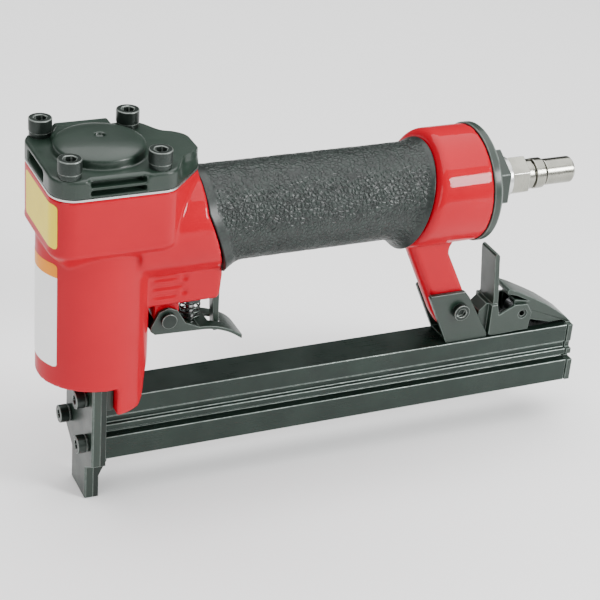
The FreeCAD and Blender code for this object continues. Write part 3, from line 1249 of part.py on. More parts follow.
def make_bracket():
    body = new_body("rear_bracket")
    side = outline(body, "bracket_outline", "XZ_Plane", [
        ("Sizes.bracket_front_low", "Sizes.magazine_top"),
        ("Sizes.bracket_rear_low", "Sizes.magazine_top"),
        ("Sizes.bracket_rear_low", "Sizes.magazine_top + 2"),
        ("Sizes.bracket_rear_top + 2.4", "Sizes.bracket_top - 3"),
        ("Sizes.bracket_rear_top", "Sizes.bracket_top"),
        ("Sizes.bracket_front_top + 0.6", "Sizes.bracket_top"),
        ("Sizes.bracket_front_top", "Sizes.bracket_top - 1"),
    ])
    pad(body, "bracket_block", side, "Sizes.bracket_half * 2", True)
    inside = outline(body, "bracket_inside_outline", "XZ_Plane", [
        ("Sizes.bracket_front_top - 5", "Sizes.magazine_top + Sizes.bracket_base"),
        ("Sizes.bracket_rear_low + 5", "Sizes.magazine_top + Sizes.bracket_base"),
        ("Sizes.bracket_rear_low + 5", "Sizes.bracket_top + 5"),
        ("Sizes.bracket_front_top - 5", "Sizes.bracket_top + 5"),
    ])
    pocket(body, "bracket_inside", inside, "(Sizes.bracket_half - Sizes.bracket_wall) * 2", True)
    heel = outline(body, "bracket_heel_outline", "XY_Plane", [
        ("Sizes.hook_slot_front - 1", "-Sizes.bracket_half + Sizes.bracket_wall"),
        ("Sizes.bracket_rear_low + 1", "-Sizes.bracket_half + Sizes.bracket_wall"),
        ("Sizes.bracket_rear_low + 1", "Sizes.bracket_half - Sizes.bracket_wall"),
        ("Sizes.hook_slot_front - 1", "Sizes.bracket_half - Sizes.bracket_wall"),
    ], "Sizes.magazine_top - 1")
    pocket(body, "bracket_heel", heel, "Sizes.bracket_base + 2", False, True)
    half = size("bracket_half")
    round_edges(body, "bracket_rounding", "0.6",
                lambda edge: abs(abs(edge.BoundBox.Center.y) - half) < 0.01 and edge.BoundBox.YLength < 0.01
                and edge.BoundBox.ZMin > size("magazine_top") + 1)
    hole = disc(body, "bracket_hole_circle", "XZ_Plane", "Sizes.bracket_screw_radius + Sizes.fit_gap",
                "Sizes.bracket_screw_x", "Sizes.bracket_screw_z")
    pocket(body, "bracket_hole", hole, "Sizes.bracket_half * 3", True)

    length = "Sizes.bracket_half * 2 + Sizes.bracket_nut_height"
    place = ("Sizes.bracket_screw_x", "-Sizes.bracket_half", "Sizes.bracket_screw_z", step_left)
    keep(screw("bracket_screw_part", "Sizes.bracket_head_radius", "Sizes.bracket_head_height",
               "Sizes.bracket_screw_radius", length, place, "Y"), "bracket_screw")
    nut = hexagon("bracket_nut_hex", "Sizes.bracket_nut_flat", "Sizes.bracket_nut_height", "Sizes.bracket_screw_x",
                  "Sizes.bracket_half", "Sizes.bracket_screw_z", "Y")
    bore = rod("bracket_nut_bore", "Sizes.bracket_screw_radius + Sizes.fit_gap", "10", "Sizes.bracket_screw_x",
               "Sizes.bracket_half - 1", "Sizes.bracket_screw_z", "Y")
    keep(cut("bracket_nut_part", nut, bore), "bracket_nut")


# Grip sleeve over the handle tube

def make_grip():
    body = new_body("grip_sleeve")
    stations = (
        ("Sizes.neck_top_x - 2", "Sizes.grip_front_radius", "0.3"),
        ("Sizes.neck_bottom_x - 1.2", "Sizes.grip_front_radius + 0.9", "Sizes.grip_front_drop * 2"),
        ("Sizes.neck_bottom_x + 8", "Sizes.grip_radius + 0.7", "Sizes.grip_front_drop * 0.5"),
        ("Sizes.neck_bottom_x + 24", "Sizes.grip_radius", "0"),
        ("Sizes.collar_low_x - 20", "Sizes.grip_radius + 0.1", "0"),
        ("Sizes.collar_low_x - 8", "Sizes.grip_radius + 0.8", "Sizes.grip_rear_drop * 0.3"),
        ("Sizes.collar_low_x", "Sizes.grip_rear_radius - 0.3", "Sizes.grip_rear_drop"),
        ("Sizes.collar_top_x + 1", "Sizes.grip_rear_radius - 1", "Sizes.grip_rear_drop * 0.4"),
    )
    sections = []
    for number, (along, radius, drop) in enumerate(stations):
        sections.append(disc(body, f"grip_section_{number}", "YZ_Plane", radius, "0",
                             f"Sizes.handle_axis - ({drop})", along))
    loft = body.newObject("PartDesign::AdditiveLoft", "grip_loft")
    loft.Profile = sections[0]
    loft.Sections = sections[1:]
    loft.Ruled = False
    doc.recompute()
    slant = outline(body, "grip_slant_outline", "XZ_Plane", [
        ("Sizes.neck_top_x", "Sizes.neck_break_z"),
        ("Sizes.neck_bottom_x", "Sizes.neck_bottom_z"),
        ("Sizes.neck_bottom_x", "Sizes.neck_bottom_z - 10"),
        ("Sizes.neck_top_x - 20", "Sizes.neck_bottom_z - 10"),
        ("Sizes.neck_top_x - 20", "Sizes.neck_top_z + 11"),
        ("Sizes.neck_top_x", "Sizes.neck_top_z + 11"),
    ])
    pocket(body, "grip_slant", slant, "Sizes.neck_radius * 4", True)
    rear = outline(body, "grip_rear_outline", "XZ_Plane", [
        collar_plane(-1.3),
        ("Sizes.collar_top_x + 20", "Sizes.handle_axis - Sizes.collar_radius * 1.3"),
        ("Sizes.collar_top_x + 20", "Sizes.handle_axis + Sizes.collar_radius * 1.3"),
        collar_plane(1.3),
    ])
    pocket(body, "grip_rear_slant", rear, "Sizes.neck_radius * 4", True)
    bore = disc(body, "grip_bore_circle", "YZ_Plane", "Sizes.tube_radius + Sizes.grip_bore_gap", "0",
                "Sizes.handle_axis", "Sizes.neck_top_x - 10")
    pocket(body, "grip_bore", bore, "Sizes.collar_top_x", False, True)


# End cap with hex boss, seal, washer and quick coupling plug

def make_end_cap():
    rear = "Sizes.collar_rear"
    disc_part = rod("end_ring_disc", "Sizes.end_ring_radius", "Sizes.end_ring_thick", rear, z="Sizes.handle_axis",
                    along="X")
    rim = cone("end_ring_rim", "Sizes.end_ring_radius", "Sizes.end_ring_radius - 1.6", "1.2",
               f"{rear} + Sizes.end_ring_thick", z="Sizes.handle_axis", along="X")
    spigot = rod("end_spigot", "Sizes.spigot_radius", "Sizes.spigot_length", f"{rear} - Sizes.spigot_length",
                 z="Sizes.handle_axis", along="X")
    boss = hexagon("end_hex_boss", "Sizes.hex_boss_flat", f"Sizes.hex_boss_rear - {rear}", rear,
                   z="Sizes.handle_axis", along="X")
    thread = rod("end_thread_bore", "Sizes.plug_thread_radius + Sizes.fit_gap", "60", f"{rear} - 20",
                 z="Sizes.handle_axis", along="X")
    groove_disc = rod("end_groove_disc", "Sizes.spigot_radius + 1", "Sizes.seal_wire * 2 + 0.2",
                      f"{rear} - Sizes.spigot_length / 2 - Sizes.seal_wire - 0.1", z="Sizes.handle_axis", along="X")
    groove_core = rod("end_groove_core", "Sizes.spigot_radius - Sizes.seal_wire * 2 - 0.1", "Sizes.seal_wire * 4",
                      f"{rear} - Sizes.spigot_length / 2 - Sizes.seal_wire * 2", z="Sizes.handle_axis", along="X")
    groove = cut("end_groove", groove_disc, groove_core)
    whole = fuse("end_cap_whole", [disc_part, rim, spigot, boss])
    keep(cut("end_cap_body", whole, fuse("end_cap_cuts", [thread, groove])), "end_cap")
    keep(ring("end_seal", "Sizes.spigot_radius - Sizes.seal_wire - 0.05", "Sizes.seal_wire",
              f"{rear} - Sizes.spigot_length / 2", z="Sizes.handle_axis", along="X"), "end_cap_o_ring")

    washer_disc = rod("plug_washer_disc", "Sizes.plug_washer_radius", "Sizes.plug_washer_thick",
                      "Sizes.hex_boss_rear", z="Sizes.handle_axis", along="X")
    washer_bore = rod("plug_washer_bore", "Sizes.plug_thread_radius + Sizes.fit_gap", "20",
                      "Sizes.hex_boss_rear - 5", z="Sizes.handle_axis", along="X")
    keep(cut("plug_washer_part", washer_disc, washer_bore), "plug_washer")

    place = "Sizes.hex_boss_rear + Sizes.plug_washer_thick"
    parts = [rod("plug_thread", "Sizes.plug_thread_radius", "Sizes.plug_thread_length + Sizes.plug_washer_thick",
                 "Sizes.hex_boss_rear - Sizes.plug_thread_length", z="Sizes.handle_axis", along="X")]
    hexagonal = hexagon("plug_hex", "Sizes.plug_hex_flat", "Sizes.plug_hex_length", place, z="Sizes.handle_axis",
                        along="X")
    parts.append(hexagonal)
    place = place + " + Sizes.plug_hex_length"
    stages = (
        ("plug_neck", "Sizes.plug_neck_radius", "Sizes.plug_neck_length"),
        ("plug_groove", "Sizes.plug_groove_radius", "Sizes.plug_groove_length"),
        ("plug_collar", "Sizes.plug_collar_radius", "Sizes.plug_collar_length"),
        ("plug_waist", "Sizes.plug_tube_radius - 0.9", "Sizes.plug_groove_length"),
        ("plug_tube", "Sizes.plug_tube_radius", "Sizes.plug_tube_length"),
    )
    for name, radius, length in stages:
        parts.append(rod(name, radius, length, place, z="Sizes.handle_axis", along="X"))
        place = place + " + " + length
    parts.append(cone("plug_tip", "Sizes.plug_tube_radius", "Sizes.plug_tube_radius - 0.9", "0.9", place,
                      z="Sizes.handle_axis", along="X"))
    bore = rod("plug_bore_cut", "Sizes.plug_bore", "80", "Sizes.hex_boss_rear - 20", z="Sizes.handle_axis",
               along="X")
    keep(cut("air_plug_body", fuse("air_plug_whole", parts), bore), "air_plug")


# Trigger, its pin, valve bush, stem, spring and stop hook

def blade_plan():
    """Block over the blade's length with both tip corners rounded, seen from above."""
    body = plain_body("blade_plan_body")
    plan = outline(body, "blade_plan_outline", "XY_Plane", [
        ("Sizes.blade_bend_x", "-Sizes.trigger_half"),
        ("Sizes.blade_tip_x", "-Sizes.trigger_half"),
        ("Sizes.blade_tip_x", "Sizes.trigger_half"),
        ("Sizes.blade_bend_x", "Sizes.trigger_half"),
    ], "Sizes.trigger_web_bottom - Sizes.blade_bend_radius")
    pad(body, "blade_plan_block", plan, "Sizes.blade_bend_radius + Sizes.trigger_sheet * 2")
    tip = size("blade_tip_x")
    round_edges(body, "blade_corners", "Sizes.blade_corner",
                lambda edge: abs(edge.BoundBox.XMin - tip) < 0.01 and edge.BoundBox.ZLength > 10)
    return body


def make_trigger():
    web_top = "Sizes.trigger_web_bottom + Sizes.trigger_sheet"
    lever = plain_body("trigger_sides_body")
    side = outline(lever, "trigger_side_outline", "XZ_Plane", [
        ("Sizes.trigger_front + 1.6", "Sizes.trigger_web_bottom + 0.6"),
        ("Sizes.blade_bend_x", "Sizes.trigger_web_bottom"),
        ("Sizes.blade_bend_x", web_top),
        ("Sizes.pivot_x + 7", "Sizes.trigger_web_bottom + 4"),
        ("Sizes.pivot_x + 3.6", "Sizes.pivot_z + 3.4"),
        ("Sizes.pivot_x", "Sizes.pivot_z + 4.8"),
        ("Sizes.pivot_x - 3.6", "Sizes.pivot_z + 3.4"),
        ("Sizes.trigger_front", "Sizes.trigger_web_bottom + 4"),
        ("Sizes.trigger_front", "Sizes.trigger_web_bottom + 2"),
    ])
    pad(lever, "trigger_sides", side, "Sizes.trigger_half * 2", True)
    inside = outline(lever, "trigger_inside_outline", "XZ_Plane", [
        ("Sizes.trigger_front - 2", web_top + " + 0.6"),
        ("Sizes.blade_bend_x + 1", web_top),
        ("Sizes.blade_bend_x + 1", "Sizes.pivot_z + 8"),
        ("Sizes.trigger_front - 2", "Sizes.pivot_z + 8"),
    ])
    pocket(lever, "trigger_inside", inside, "(Sizes.trigger_half - Sizes.trigger_sheet) * 2", True)
    curve = "Sizes.blade_bend_radius"
    centre_z = f"Sizes.trigger_web_bottom - {curve}"
    outer = rod("blade_outer", f"{curve} + Sizes.trigger_sheet", "Sizes.trigger_half * 2", along="-Y",
                x="Sizes.blade_bend_x", y="Sizes.trigger_half", z=centre_z)
    inner = rod("blade_inner", curve, "Sizes.trigger_half * 2 + 2", along="-Y", x="Sizes.blade_bend_x",
                y="Sizes.trigger_half + 1", z=centre_z)
    reach = size("blade_tip_x") + size("trigger_sheet") - size("blade_bend_x")
    sweep = math.degrees(math.asin(reach / size("blade_bend_radius")))
    outer.Angle = sweep
    turn = FreeCAD.Rotation(FreeCAD.Vector(0, 0, 1), 90 - sweep)
    outer.Placement = FreeCAD.Placement(outer.Placement.Base, turns["-Y"].multiply(turn))
    blade = doc.addObject("Part::Common", "blade")
    blade.Base = cut("blade_strip", outer, inner)
    blade.Tool = blade_plan()
    whole = fuse("trigger_whole", [lever, blade])
    hole = rod("trigger_bore", "Sizes.pin_radius + Sizes.fit_gap", "Sizes.trigger_half * 4", "Sizes.pivot_x",
               "-Sizes.trigger_half * 2", "Sizes.pivot_z", "Y")
    gap = block("hook_gap", "Sizes.hook_thick * 2 + 1.8", "Sizes.hook_half * 2 + 1.2", "30",
                "Sizes.hook_x - Sizes.hook_thick - 0.4", "-Sizes.hook_half - 0.6", "Sizes.hook_bottom - 12")
    keep(cut("trigger_part", whole, fuse("trigger_cuts", [hole, gap])), "trigger_lever")

    pin = rod("trigger_pin_rod", "Sizes.pin_radius", "Sizes.trigger_half * 2 + Sizes.running_gap * 2",
              "Sizes.pivot_x", "-Sizes.trigger_half - Sizes.running_gap", "Sizes.pivot_z", "Y")
    near = rod("trigger_pin_near", "Sizes.pin_head_radius", "Sizes.pin_head_thick", "Sizes.pivot_x",
               "-Sizes.trigger_half - Sizes.running_gap - Sizes.pin_head_thick", "Sizes.pivot_z", "Y")
    far = rod("trigger_pin_far", "Sizes.pin_head_radius", "Sizes.pin_head_thick", "Sizes.pivot_x",
              "Sizes.trigger_half + Sizes.running_gap", "Sizes.pivot_z", "Y")
    keep(fuse("trigger_pin_whole", [pin, near, far]), "trigger_pin")

    bush = rod("bush_body", "Sizes.valve_body_radius", "Sizes.valve_body_height", "Sizes.stem_x",
               z="Sizes.block_bottom")
    collar = rod("bush_collar", "Sizes.valve_collar_radius", "Sizes.valve_collar_height", "Sizes.stem_x",
                 z="Sizes.block_bottom - Sizes.valve_collar_height")
    bore = rod("bush_bore", "Sizes.stem_radius + Sizes.running_gap", "60", "Sizes.stem_x",
               z="Sizes.block_bottom - 10")
    keep(cut("bush", fuse("bush_whole", [bush, collar]), bore), "trigger_valve_body")
    stem_bottom = web_top + " + Sizes.stem_lash"
    stem_top = "Sizes.block_bottom + Sizes.valve_body_height + Sizes.fit_gap"
    stem = rod("stem_rod", "Sizes.stem_radius", f"{stem_top} - ({stem_bottom})", "Sizes.stem_x", z=stem_bottom)
    head = rod("stem_head", "Sizes.stem_radius + 1.6", "1.6", "Sizes.stem_x", z=stem_top)
    foot = rod("stem_foot", "Sizes.stem_radius + 0.5", "2", "Sizes.stem_x", z=stem_bottom)
    keep(fuse("stem_whole", [stem, head, foot]), "valve_stem")

    low = size("trigger_web_bottom") + size("trigger_sheet") + size("running_gap")
    high = size("block_bottom") - size("valve_collar_height") - size("fit_gap")
    spring("trigger_spring", size("trigger_spring_radius"), size("trigger_spring_wire"), low, high, 4,
           size("stem_x"))

    hook = new_body("trigger_stop_hook")
    hook_side = outline(hook, "hook_outline", "XZ_Plane", [
        ("Sizes.hook_x + 0.4", "Sizes.hook_bottom"),
        ("Sizes.hook_x + 0.4 + Sizes.hook_thick", "Sizes.hook_bottom"),
        ("Sizes.hook_x + 0.2 + Sizes.hook_thick", "Sizes.block_bottom"),
        ("Sizes.hook_x + Sizes.hook_thick + 0.6", "Sizes.block_bottom + 3"),
        ("Sizes.block_rear + 0.9", "Sizes.block_bottom + 4.4"),
        ("Sizes.block_rear + 0.5", "Sizes.block_bottom + 2.6"),
        ("Sizes.hook_x - 0.4", "Sizes.block_bottom - 0.2"),
        ("Sizes.hook_x - 3.4", "Sizes.block_bottom"),
        ("Sizes.hook_x - 3.4", "Sizes.block_bottom - 0.9"),
        ("Sizes.hook_x - 0.6", "Sizes.block_bottom - 2.4"),
    ])
    pad(hook, "hook_strap", hook_side, "Sizes.hook_half * 2", True)


def make_pusher_spring():
    roll = rod("roll_disc", "Sizes.roll_radius", "6", "Sizes.magazine_front + 8",
               z="Sizes.bead_top - 6")
    bore = rod("roll_bore", "Sizes.roll_radius * 0.5", "10", "Sizes.magazine_front + 8",
               z="Sizes.bead_top - 8")
    keep(cut("roll_spring", roll, bore), "pusher_roll_spring")


for make in (make_housing, make_gasket, make_cap, make_cap_screws, make_sleeve, make_piston, make_bumper,
             make_head_valve, make_nose, make_magazine, make_rail, make_pusher_spring, make_end_plate, make_latch,
             make_bracket, make_grip, make_end_cap, make_trigger):
    make()
doc.recompute()

for item in doc.Objects:
    if "Invalid" in item.State or "Error" in item.State:
        raise ValueError(f"{item.Name} failed: {item.State}")
os.makedirs("parts", exist_ok=True)
for piece in kept:
    shape = piece.Shape
    if shape.isNull() or not shape.isValid():
        raise ValueError(f"{piece.Label} has no valid shape")
    shape.exportStep(f"parts/{piece.Label}.step")
    box = shape.BoundBox
    print(f"{piece.Label}: {len(shape.Solids)} solid(s), {shape.Volume:.0f} mm3,",
          f"X {box.XMin:.1f} to {box.XMax:.1f}, Y {box.YMin:.1f} to {box.YMax:.1f}, Z {box.ZMin:.1f} to {box.ZMax:.1f}")
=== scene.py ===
import json
import math

import bmesh
import bpy
from mathutils import Matrix, Vector, noise


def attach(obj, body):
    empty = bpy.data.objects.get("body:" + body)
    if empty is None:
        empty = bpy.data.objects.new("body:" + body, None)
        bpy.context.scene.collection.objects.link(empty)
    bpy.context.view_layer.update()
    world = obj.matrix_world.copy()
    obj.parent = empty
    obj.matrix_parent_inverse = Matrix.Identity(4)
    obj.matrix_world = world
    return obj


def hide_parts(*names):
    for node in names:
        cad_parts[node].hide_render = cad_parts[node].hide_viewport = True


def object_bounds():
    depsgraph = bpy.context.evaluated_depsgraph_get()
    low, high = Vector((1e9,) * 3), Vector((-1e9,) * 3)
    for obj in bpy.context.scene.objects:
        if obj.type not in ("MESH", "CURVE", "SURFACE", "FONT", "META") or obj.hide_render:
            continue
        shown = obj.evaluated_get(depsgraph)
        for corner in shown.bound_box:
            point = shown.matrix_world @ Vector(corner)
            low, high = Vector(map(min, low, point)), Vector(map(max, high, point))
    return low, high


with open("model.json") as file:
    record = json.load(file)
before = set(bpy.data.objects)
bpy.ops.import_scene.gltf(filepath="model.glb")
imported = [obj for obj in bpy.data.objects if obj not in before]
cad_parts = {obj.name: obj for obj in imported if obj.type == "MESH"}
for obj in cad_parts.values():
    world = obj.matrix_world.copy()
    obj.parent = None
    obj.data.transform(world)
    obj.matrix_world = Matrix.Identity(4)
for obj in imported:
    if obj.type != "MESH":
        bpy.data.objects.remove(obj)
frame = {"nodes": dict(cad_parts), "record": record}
nodes = frame["nodes"]
boxLow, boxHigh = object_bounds()
mm = 0.001


# Shader node helpers and the effects that several finishes share

def wire(tree, source, target):
    tree.links.new(source, target)


# Empty shader group with its sockets, and its two end nodes.
def group(name, inputs, outputs):
    tree = bpy.data.node_groups.new(name, "ShaderNodeTree")
    for label, kind, value in inputs:
        socket = tree.interface.new_socket(label, in_out="INPUT", socket_type=kind)
        if value is not None:
            socket.default_value = value
    for label, kind in outputs:
        tree.interface.new_socket(label, in_out="OUTPUT", socket_type=kind)
    return tree, tree.nodes.new("NodeGroupInput"), tree.nodes.new("NodeGroupOutput")


def math_node(tree, operation, first, second=None, clamp=False):
    node = tree.nodes.new("ShaderNodeMath")
    node.operation = operation
    node.use_clamp = clamp
    for index, value in enumerate((first, second)):
        if value is None:
            continue
        if isinstance(value, (int, float)):
            node.inputs[index].default_value = value
        else:
            wire(tree, value, node.inputs[index])
    return node.outputs[0]


def noise_node(tree, place, scale, detail=4.0, rough=0.5):
    node = tree.nodes.new("ShaderNodeTexNoise")
    wire(tree, place, node.inputs["Vector"])
    node.inputs["Scale"].default_value = scale
    node.inputs["Detail"].default_value = detail
    node.inputs["Roughness"].default_value = rough
    return node.outputs["Fac"]


def remap(tree, value, low, high, to_low=0.0, to_high=1.0):
    node = tree.nodes.new("ShaderNodeMapRange")
    wire(tree, value, node.inputs["Value"])
    for label, number in (("From Min", low), ("From Max", high), ("To Min", to_low), ("To Max", to_high)):
        node.inputs[label].default_value = number
    return node.outputs["Result"]


def blend_colour(tree, mask, first, second):
    node = tree.nodes.new("ShaderNodeMix")
    node.data_type = "RGBA"
    wire(tree, mask, node.inputs["Factor"])
    for socket, value in ((node.inputs["A"], first), (node.inputs["B"], second)):
        if isinstance(value, tuple):
            socket.default_value = value
        else:
            wire(tree, value, socket)
    return node.outputs["Result"]


def place_node(tree):
    return tree.nodes.new("ShaderNodeTexCoord").outputs["Object"]


# Narrow faces along the edges of a piece, which the shaping step marks.
def edge_mask(tree):
    node = tree.nodes.new("ShaderNodeAttribute")
    node.attribute_name = "edge"
    return node.outputs["Fac"]


# Broken mask of rubbed edges that also lays a painted highlight along them, and one of faint dust and
# handling marks on the faces.
def make_wear_and_highlight_group():
    tree, start, end = group("wearAndHighlightMarks", [("Amount", "NodeSocketFloat", 0.5)],
                             [("Edge", "NodeSocketFloat"), ("Dust", "NodeSocketFloat")])
    place = place_node(tree)
    # Painted highlight along the edges: the mask stays above half so the bright line is unbroken, with
    # rubbed wear on top.
    broken = remap(tree, noise_node(tree, place, 420.0, 5.0, 0.65), 0.40, 0.62, 0.55, 1.0)
    edge = math_node(tree, "MULTIPLY", edge_mask(tree), broken)
    edge = math_node(tree, "MULTIPLY", edge, start.outputs["Amount"], True)
    cloud = remap(tree, noise_node(tree, place, 38.0, 4.0), 0.45, 0.75)
    fine = remap(tree, noise_node(tree, place, 1900.0, 2.0), 0.35, 0.7)
    dust = math_node(tree, "MULTIPLY", cloud, fine)
    dust = math_node(tree, "MULTIPLY", dust, start.outputs["Amount"], True)
    wire(tree, edge, end.inputs["Edge"])
    wire(tree, dust, end.inputs["Dust"])
    return tree


# Soft waves of sprayed enamel with a finer cast texture under them.
def make_peel_group():
    tree, start, end = group("orangePeel", [("Strength", "NodeSocketFloat", 0.1)],
                             [("Normal", "NodeSocketVector")])
    place = place_node(tree)
    waves = noise_node(tree, place, 260.0, 2.0, 0.4)
    cast = noise_node(tree, place, 1100.0, 3.0, 0.6)
    height = math_node(tree, "ADD", waves, math_node(tree, "MULTIPLY", cast, 0.25))
    bump = tree.nodes.new("ShaderNodeBump")
    bump.inputs["Distance"].default_value = 0.00012
    wire(tree, start.outputs["Strength"], bump.inputs["Strength"])
    wire(tree, height, bump.inputs["Height"])
    wire(tree, bump.outputs["Normal"], end.inputs["Normal"])
    return tree


# Fine lines along the axis that is stretched least, for drawn, ground and turned metal.
def make_brush_group():
    tree, start, end = group("toolLines", [("Stretch", "NodeSocketVector", (40.0, 1500.0, 1500.0)),
                                           ("Strength", "NodeSocketFloat", 0.1)],
                             [("Lines", "NodeSocketFloat"), ("Normal", "NodeSocketVector")])
    scaled = tree.nodes.new("ShaderNodeVectorMath")
    scaled.operation = "MULTIPLY"
    wire(tree, place_node(tree), scaled.inputs[0])
    wire(tree, start.outputs["Stretch"], scaled.inputs[1])
    lines = noise_node(tree, scaled.outputs["Vector"], 1.0, 3.0, 0.6)
    bump = tree.nodes.new("ShaderNodeBump")
    bump.inputs["Distance"].default_value = 0.00005
    wire(tree, start.outputs["Strength"], bump.inputs["Strength"])
    wire(tree, lines, bump.inputs["Height"])
    wire(tree, lines, end.inputs["Lines"])
    wire(tree, bump.outputs["Normal"], end.inputs["Normal"])
    return tree


# Pebbled grain cells with creases between them, for the moulded grip.
def make_leather_group():
    tree, start, end = group("leatherGrain", [("Size", "NodeSocketFloat", 900.0),
                                              ("Strength", "NodeSocketFloat", 0.5)],
                             [("Normal", "NodeSocketVector"), ("Height", "NodeSocketFloat")])
    place = place_node(tree)
    warp = tree.nodes.new("ShaderNodeTexNoise")
    warp.inputs["Scale"].default_value = 160.0
    warp.inputs["Detail"].default_value = 3.0
    wire(tree, place, warp.inputs["Vector"])
    shift = tree.nodes.new("ShaderNodeVectorMath")
    shift.operation = "MULTIPLY_ADD"
    shift.inputs[1].default_value = (0.0022, 0.0022, 0.0022)
    wire(tree, warp.outputs["Color"], shift.inputs[0])
    wire(tree, place, shift.inputs[2])
    cells = tree.nodes.new("ShaderNodeTexVoronoi")
    cells.feature = "DISTANCE_TO_EDGE"
    wire(tree, shift.outputs["Vector"], cells.inputs["Vector"])
    wire(tree, start.outputs["Size"], cells.inputs["Scale"])
    pebble = remap(tree, cells.outputs["Distance"], 0.0, 0.28)
    creases = remap(tree, noise_node(tree, shift.outputs["Vector"], 230.0, 5.0, 0.6), 0.35, 0.65)
    height = math_node(tree, "ADD", pebble, math_node(tree, "MULTIPLY", creases, 0.8))
    bump = tree.nodes.new("ShaderNodeBump")
    bump.inputs["Distance"].default_value = 0.0003
    wire(tree, start.outputs["Strength"], bump.inputs["Strength"])
    wire(tree, height, bump.inputs["Height"])
    wire(tree, bump.outputs["Normal"], end.inputs["Normal"])
    wire(tree, height, end.inputs["Height"])
    return tree


wearAndHighlightMarks = make_wear_and_highlight_group()
orangePeel = make_peel_group()
toolLines = make_brush_group()
leatherGrain = make_leather_group()


def use_group(tree, shared, **values):
    node = tree.nodes.new("ShaderNodeGroup")
    node.node_tree = shared
    for label, value in values.items():
        node.inputs[label].default_value = value
    return node


# Material whose Principled shader has its constant numbers on its own sockets.
def material(name, **constants):
    made = bpy.data.materials.new(name)
    made.use_nodes = True
    shader = made.node_tree.nodes["Principled BSDF"]
    for label, value in constants.items():
        shader.inputs[label.replace("_", " ")].default_value = value
    return made, made.node_tree, shader


# Painted casting: sprayed gloss with orange peel, faint dust, and rubbed edges that carry a painted
# highlight.
def enamel(name, look):
    made, tree, shader = material(name, Coat_Weight=look["coat"], Coat_Roughness=look["coatRough"],
                                  Metallic=0.0, Specular_IOR_Level=look["gloss"])
    wear = use_group(tree, wearAndHighlightMarks, Amount=look["wear"])
    peel = use_group(tree, orangePeel, Strength=look["peel"])
    place = place_node(tree)
    patch = remap(tree, noise_node(tree, place, 30.0, 3.0), 0.3, 0.7)
    base = blend_colour(tree, patch, look["colour"], look["deep"])
    base = blend_colour(tree, wear.outputs["Dust"], base, look["dust"])
    # Rubbed wear and a painted highlight: the narrow edge faces take the lighter edge colour.
    base = blend_colour(tree, wear.outputs["Edge"], base, look["edge"])
    wire(tree, base, shader.inputs["Base Color"])
    cloud = noise_node(tree, place, 75.0, 5.0, 0.6)
    rough = remap(tree, cloud, 0.3, 0.7, look["rough"][0], look["rough"][1])
    rough = math_node(tree, "ADD", rough, math_node(tree, "MULTIPLY", wear.outputs["Dust"], 0.25), True)
    wire(tree, rough, shader.inputs["Roughness"])
    wire(tree, peel.outputs["Normal"], shader.inputs["Normal"])
    wire(tree, peel.outputs["Normal"], shader.inputs["Coat Normal"])
    return made


# Bare or blackened metal: tool lines, uneven sheen, and rubbed edges that show bright with a painted
# highlight.
def metal(name, look):
    made, tree, shader = material(name, Metallic=look["metallic"])
    wear = use_group(tree, wearAndHighlightMarks, Amount=look["wear"])
    lines = use_group(tree, toolLines, Stretch=look["stretch"], Strength=look["lines"])
    place = place_node(tree)
    patch = remap(tree, noise_node(tree, place, 90.0, 4.0), 0.3, 0.7)
    base = blend_colour(tree, patch, look["colour"], look["deep"])
    base = blend_colour(tree, wear.outputs["Dust"], base, look["dust"])
    # Rubbed wear and a painted highlight: the narrow edge faces take the lighter edge colour.
    base = blend_colour(tree, wear.outputs["Edge"], base, look["edge"])
    wire(tree, base, shader.inputs["Base Color"])
    rough = remap(tree, lines.outputs["Lines"], 0.3, 0.7, look["rough"][0], look["rough"][1])
    smear = remap(tree, noise_node(tree, place, 55.0, 4.0), 0.4, 0.75, 0.0, 0.14)
    wire(tree, math_node(tree, "ADD", rough, smear, True), shader.inputs["Roughness"])
    wire(tree, lines.outputs["Normal"], shader.inputs["Normal"])
    return made


# Moulded rubber: pebble grain, with painted shade that darkens the creases between the pebbles.
def rubber(name, look):
    made, tree, shader = material(name, Metallic=0.0, Sheen_Weight=look["sheen"], Sheen_Roughness=0.45,
                                  Specular_IOR_Level=look["gloss"])
    grain = use_group(tree, leatherGrain, Size=look["size"])
    border = tree.nodes.new("ShaderNodeAttribute")
    border.attribute_name = "border"
    plain = math_node(tree, "SUBTRACT", 1.0, border.outputs["Fac"], True)
    wire(tree, math_node(tree, "MULTIPLY", plain, look["grain"]), grain.inputs["Strength"])
    wear = use_group(tree, wearAndHighlightMarks, Amount=look["wear"])
    # Painted shade: the low creases of the grain take the darker deep colour, and the pebble tops take the
    # plain colour.
    base = blend_colour(tree, remap(tree, grain.outputs["Height"], 0.3, 1.5), look["deep"], look["colour"])
    base = blend_colour(tree, wear.outputs["Dust"], base, look["dust"])
    wire(tree, base, shader.inputs["Base Color"])
    cloud = noise_node(tree, place_node(tree), 60.0, 4.0)
    rough = remap(tree, cloud, 0.3, 0.7, look["rough"][0], look["rough"][1])
    wire(tree, rough, shader.inputs["Roughness"])
    wire(tree, grain.outputs["Normal"], shader.inputs["Normal"])
    return made
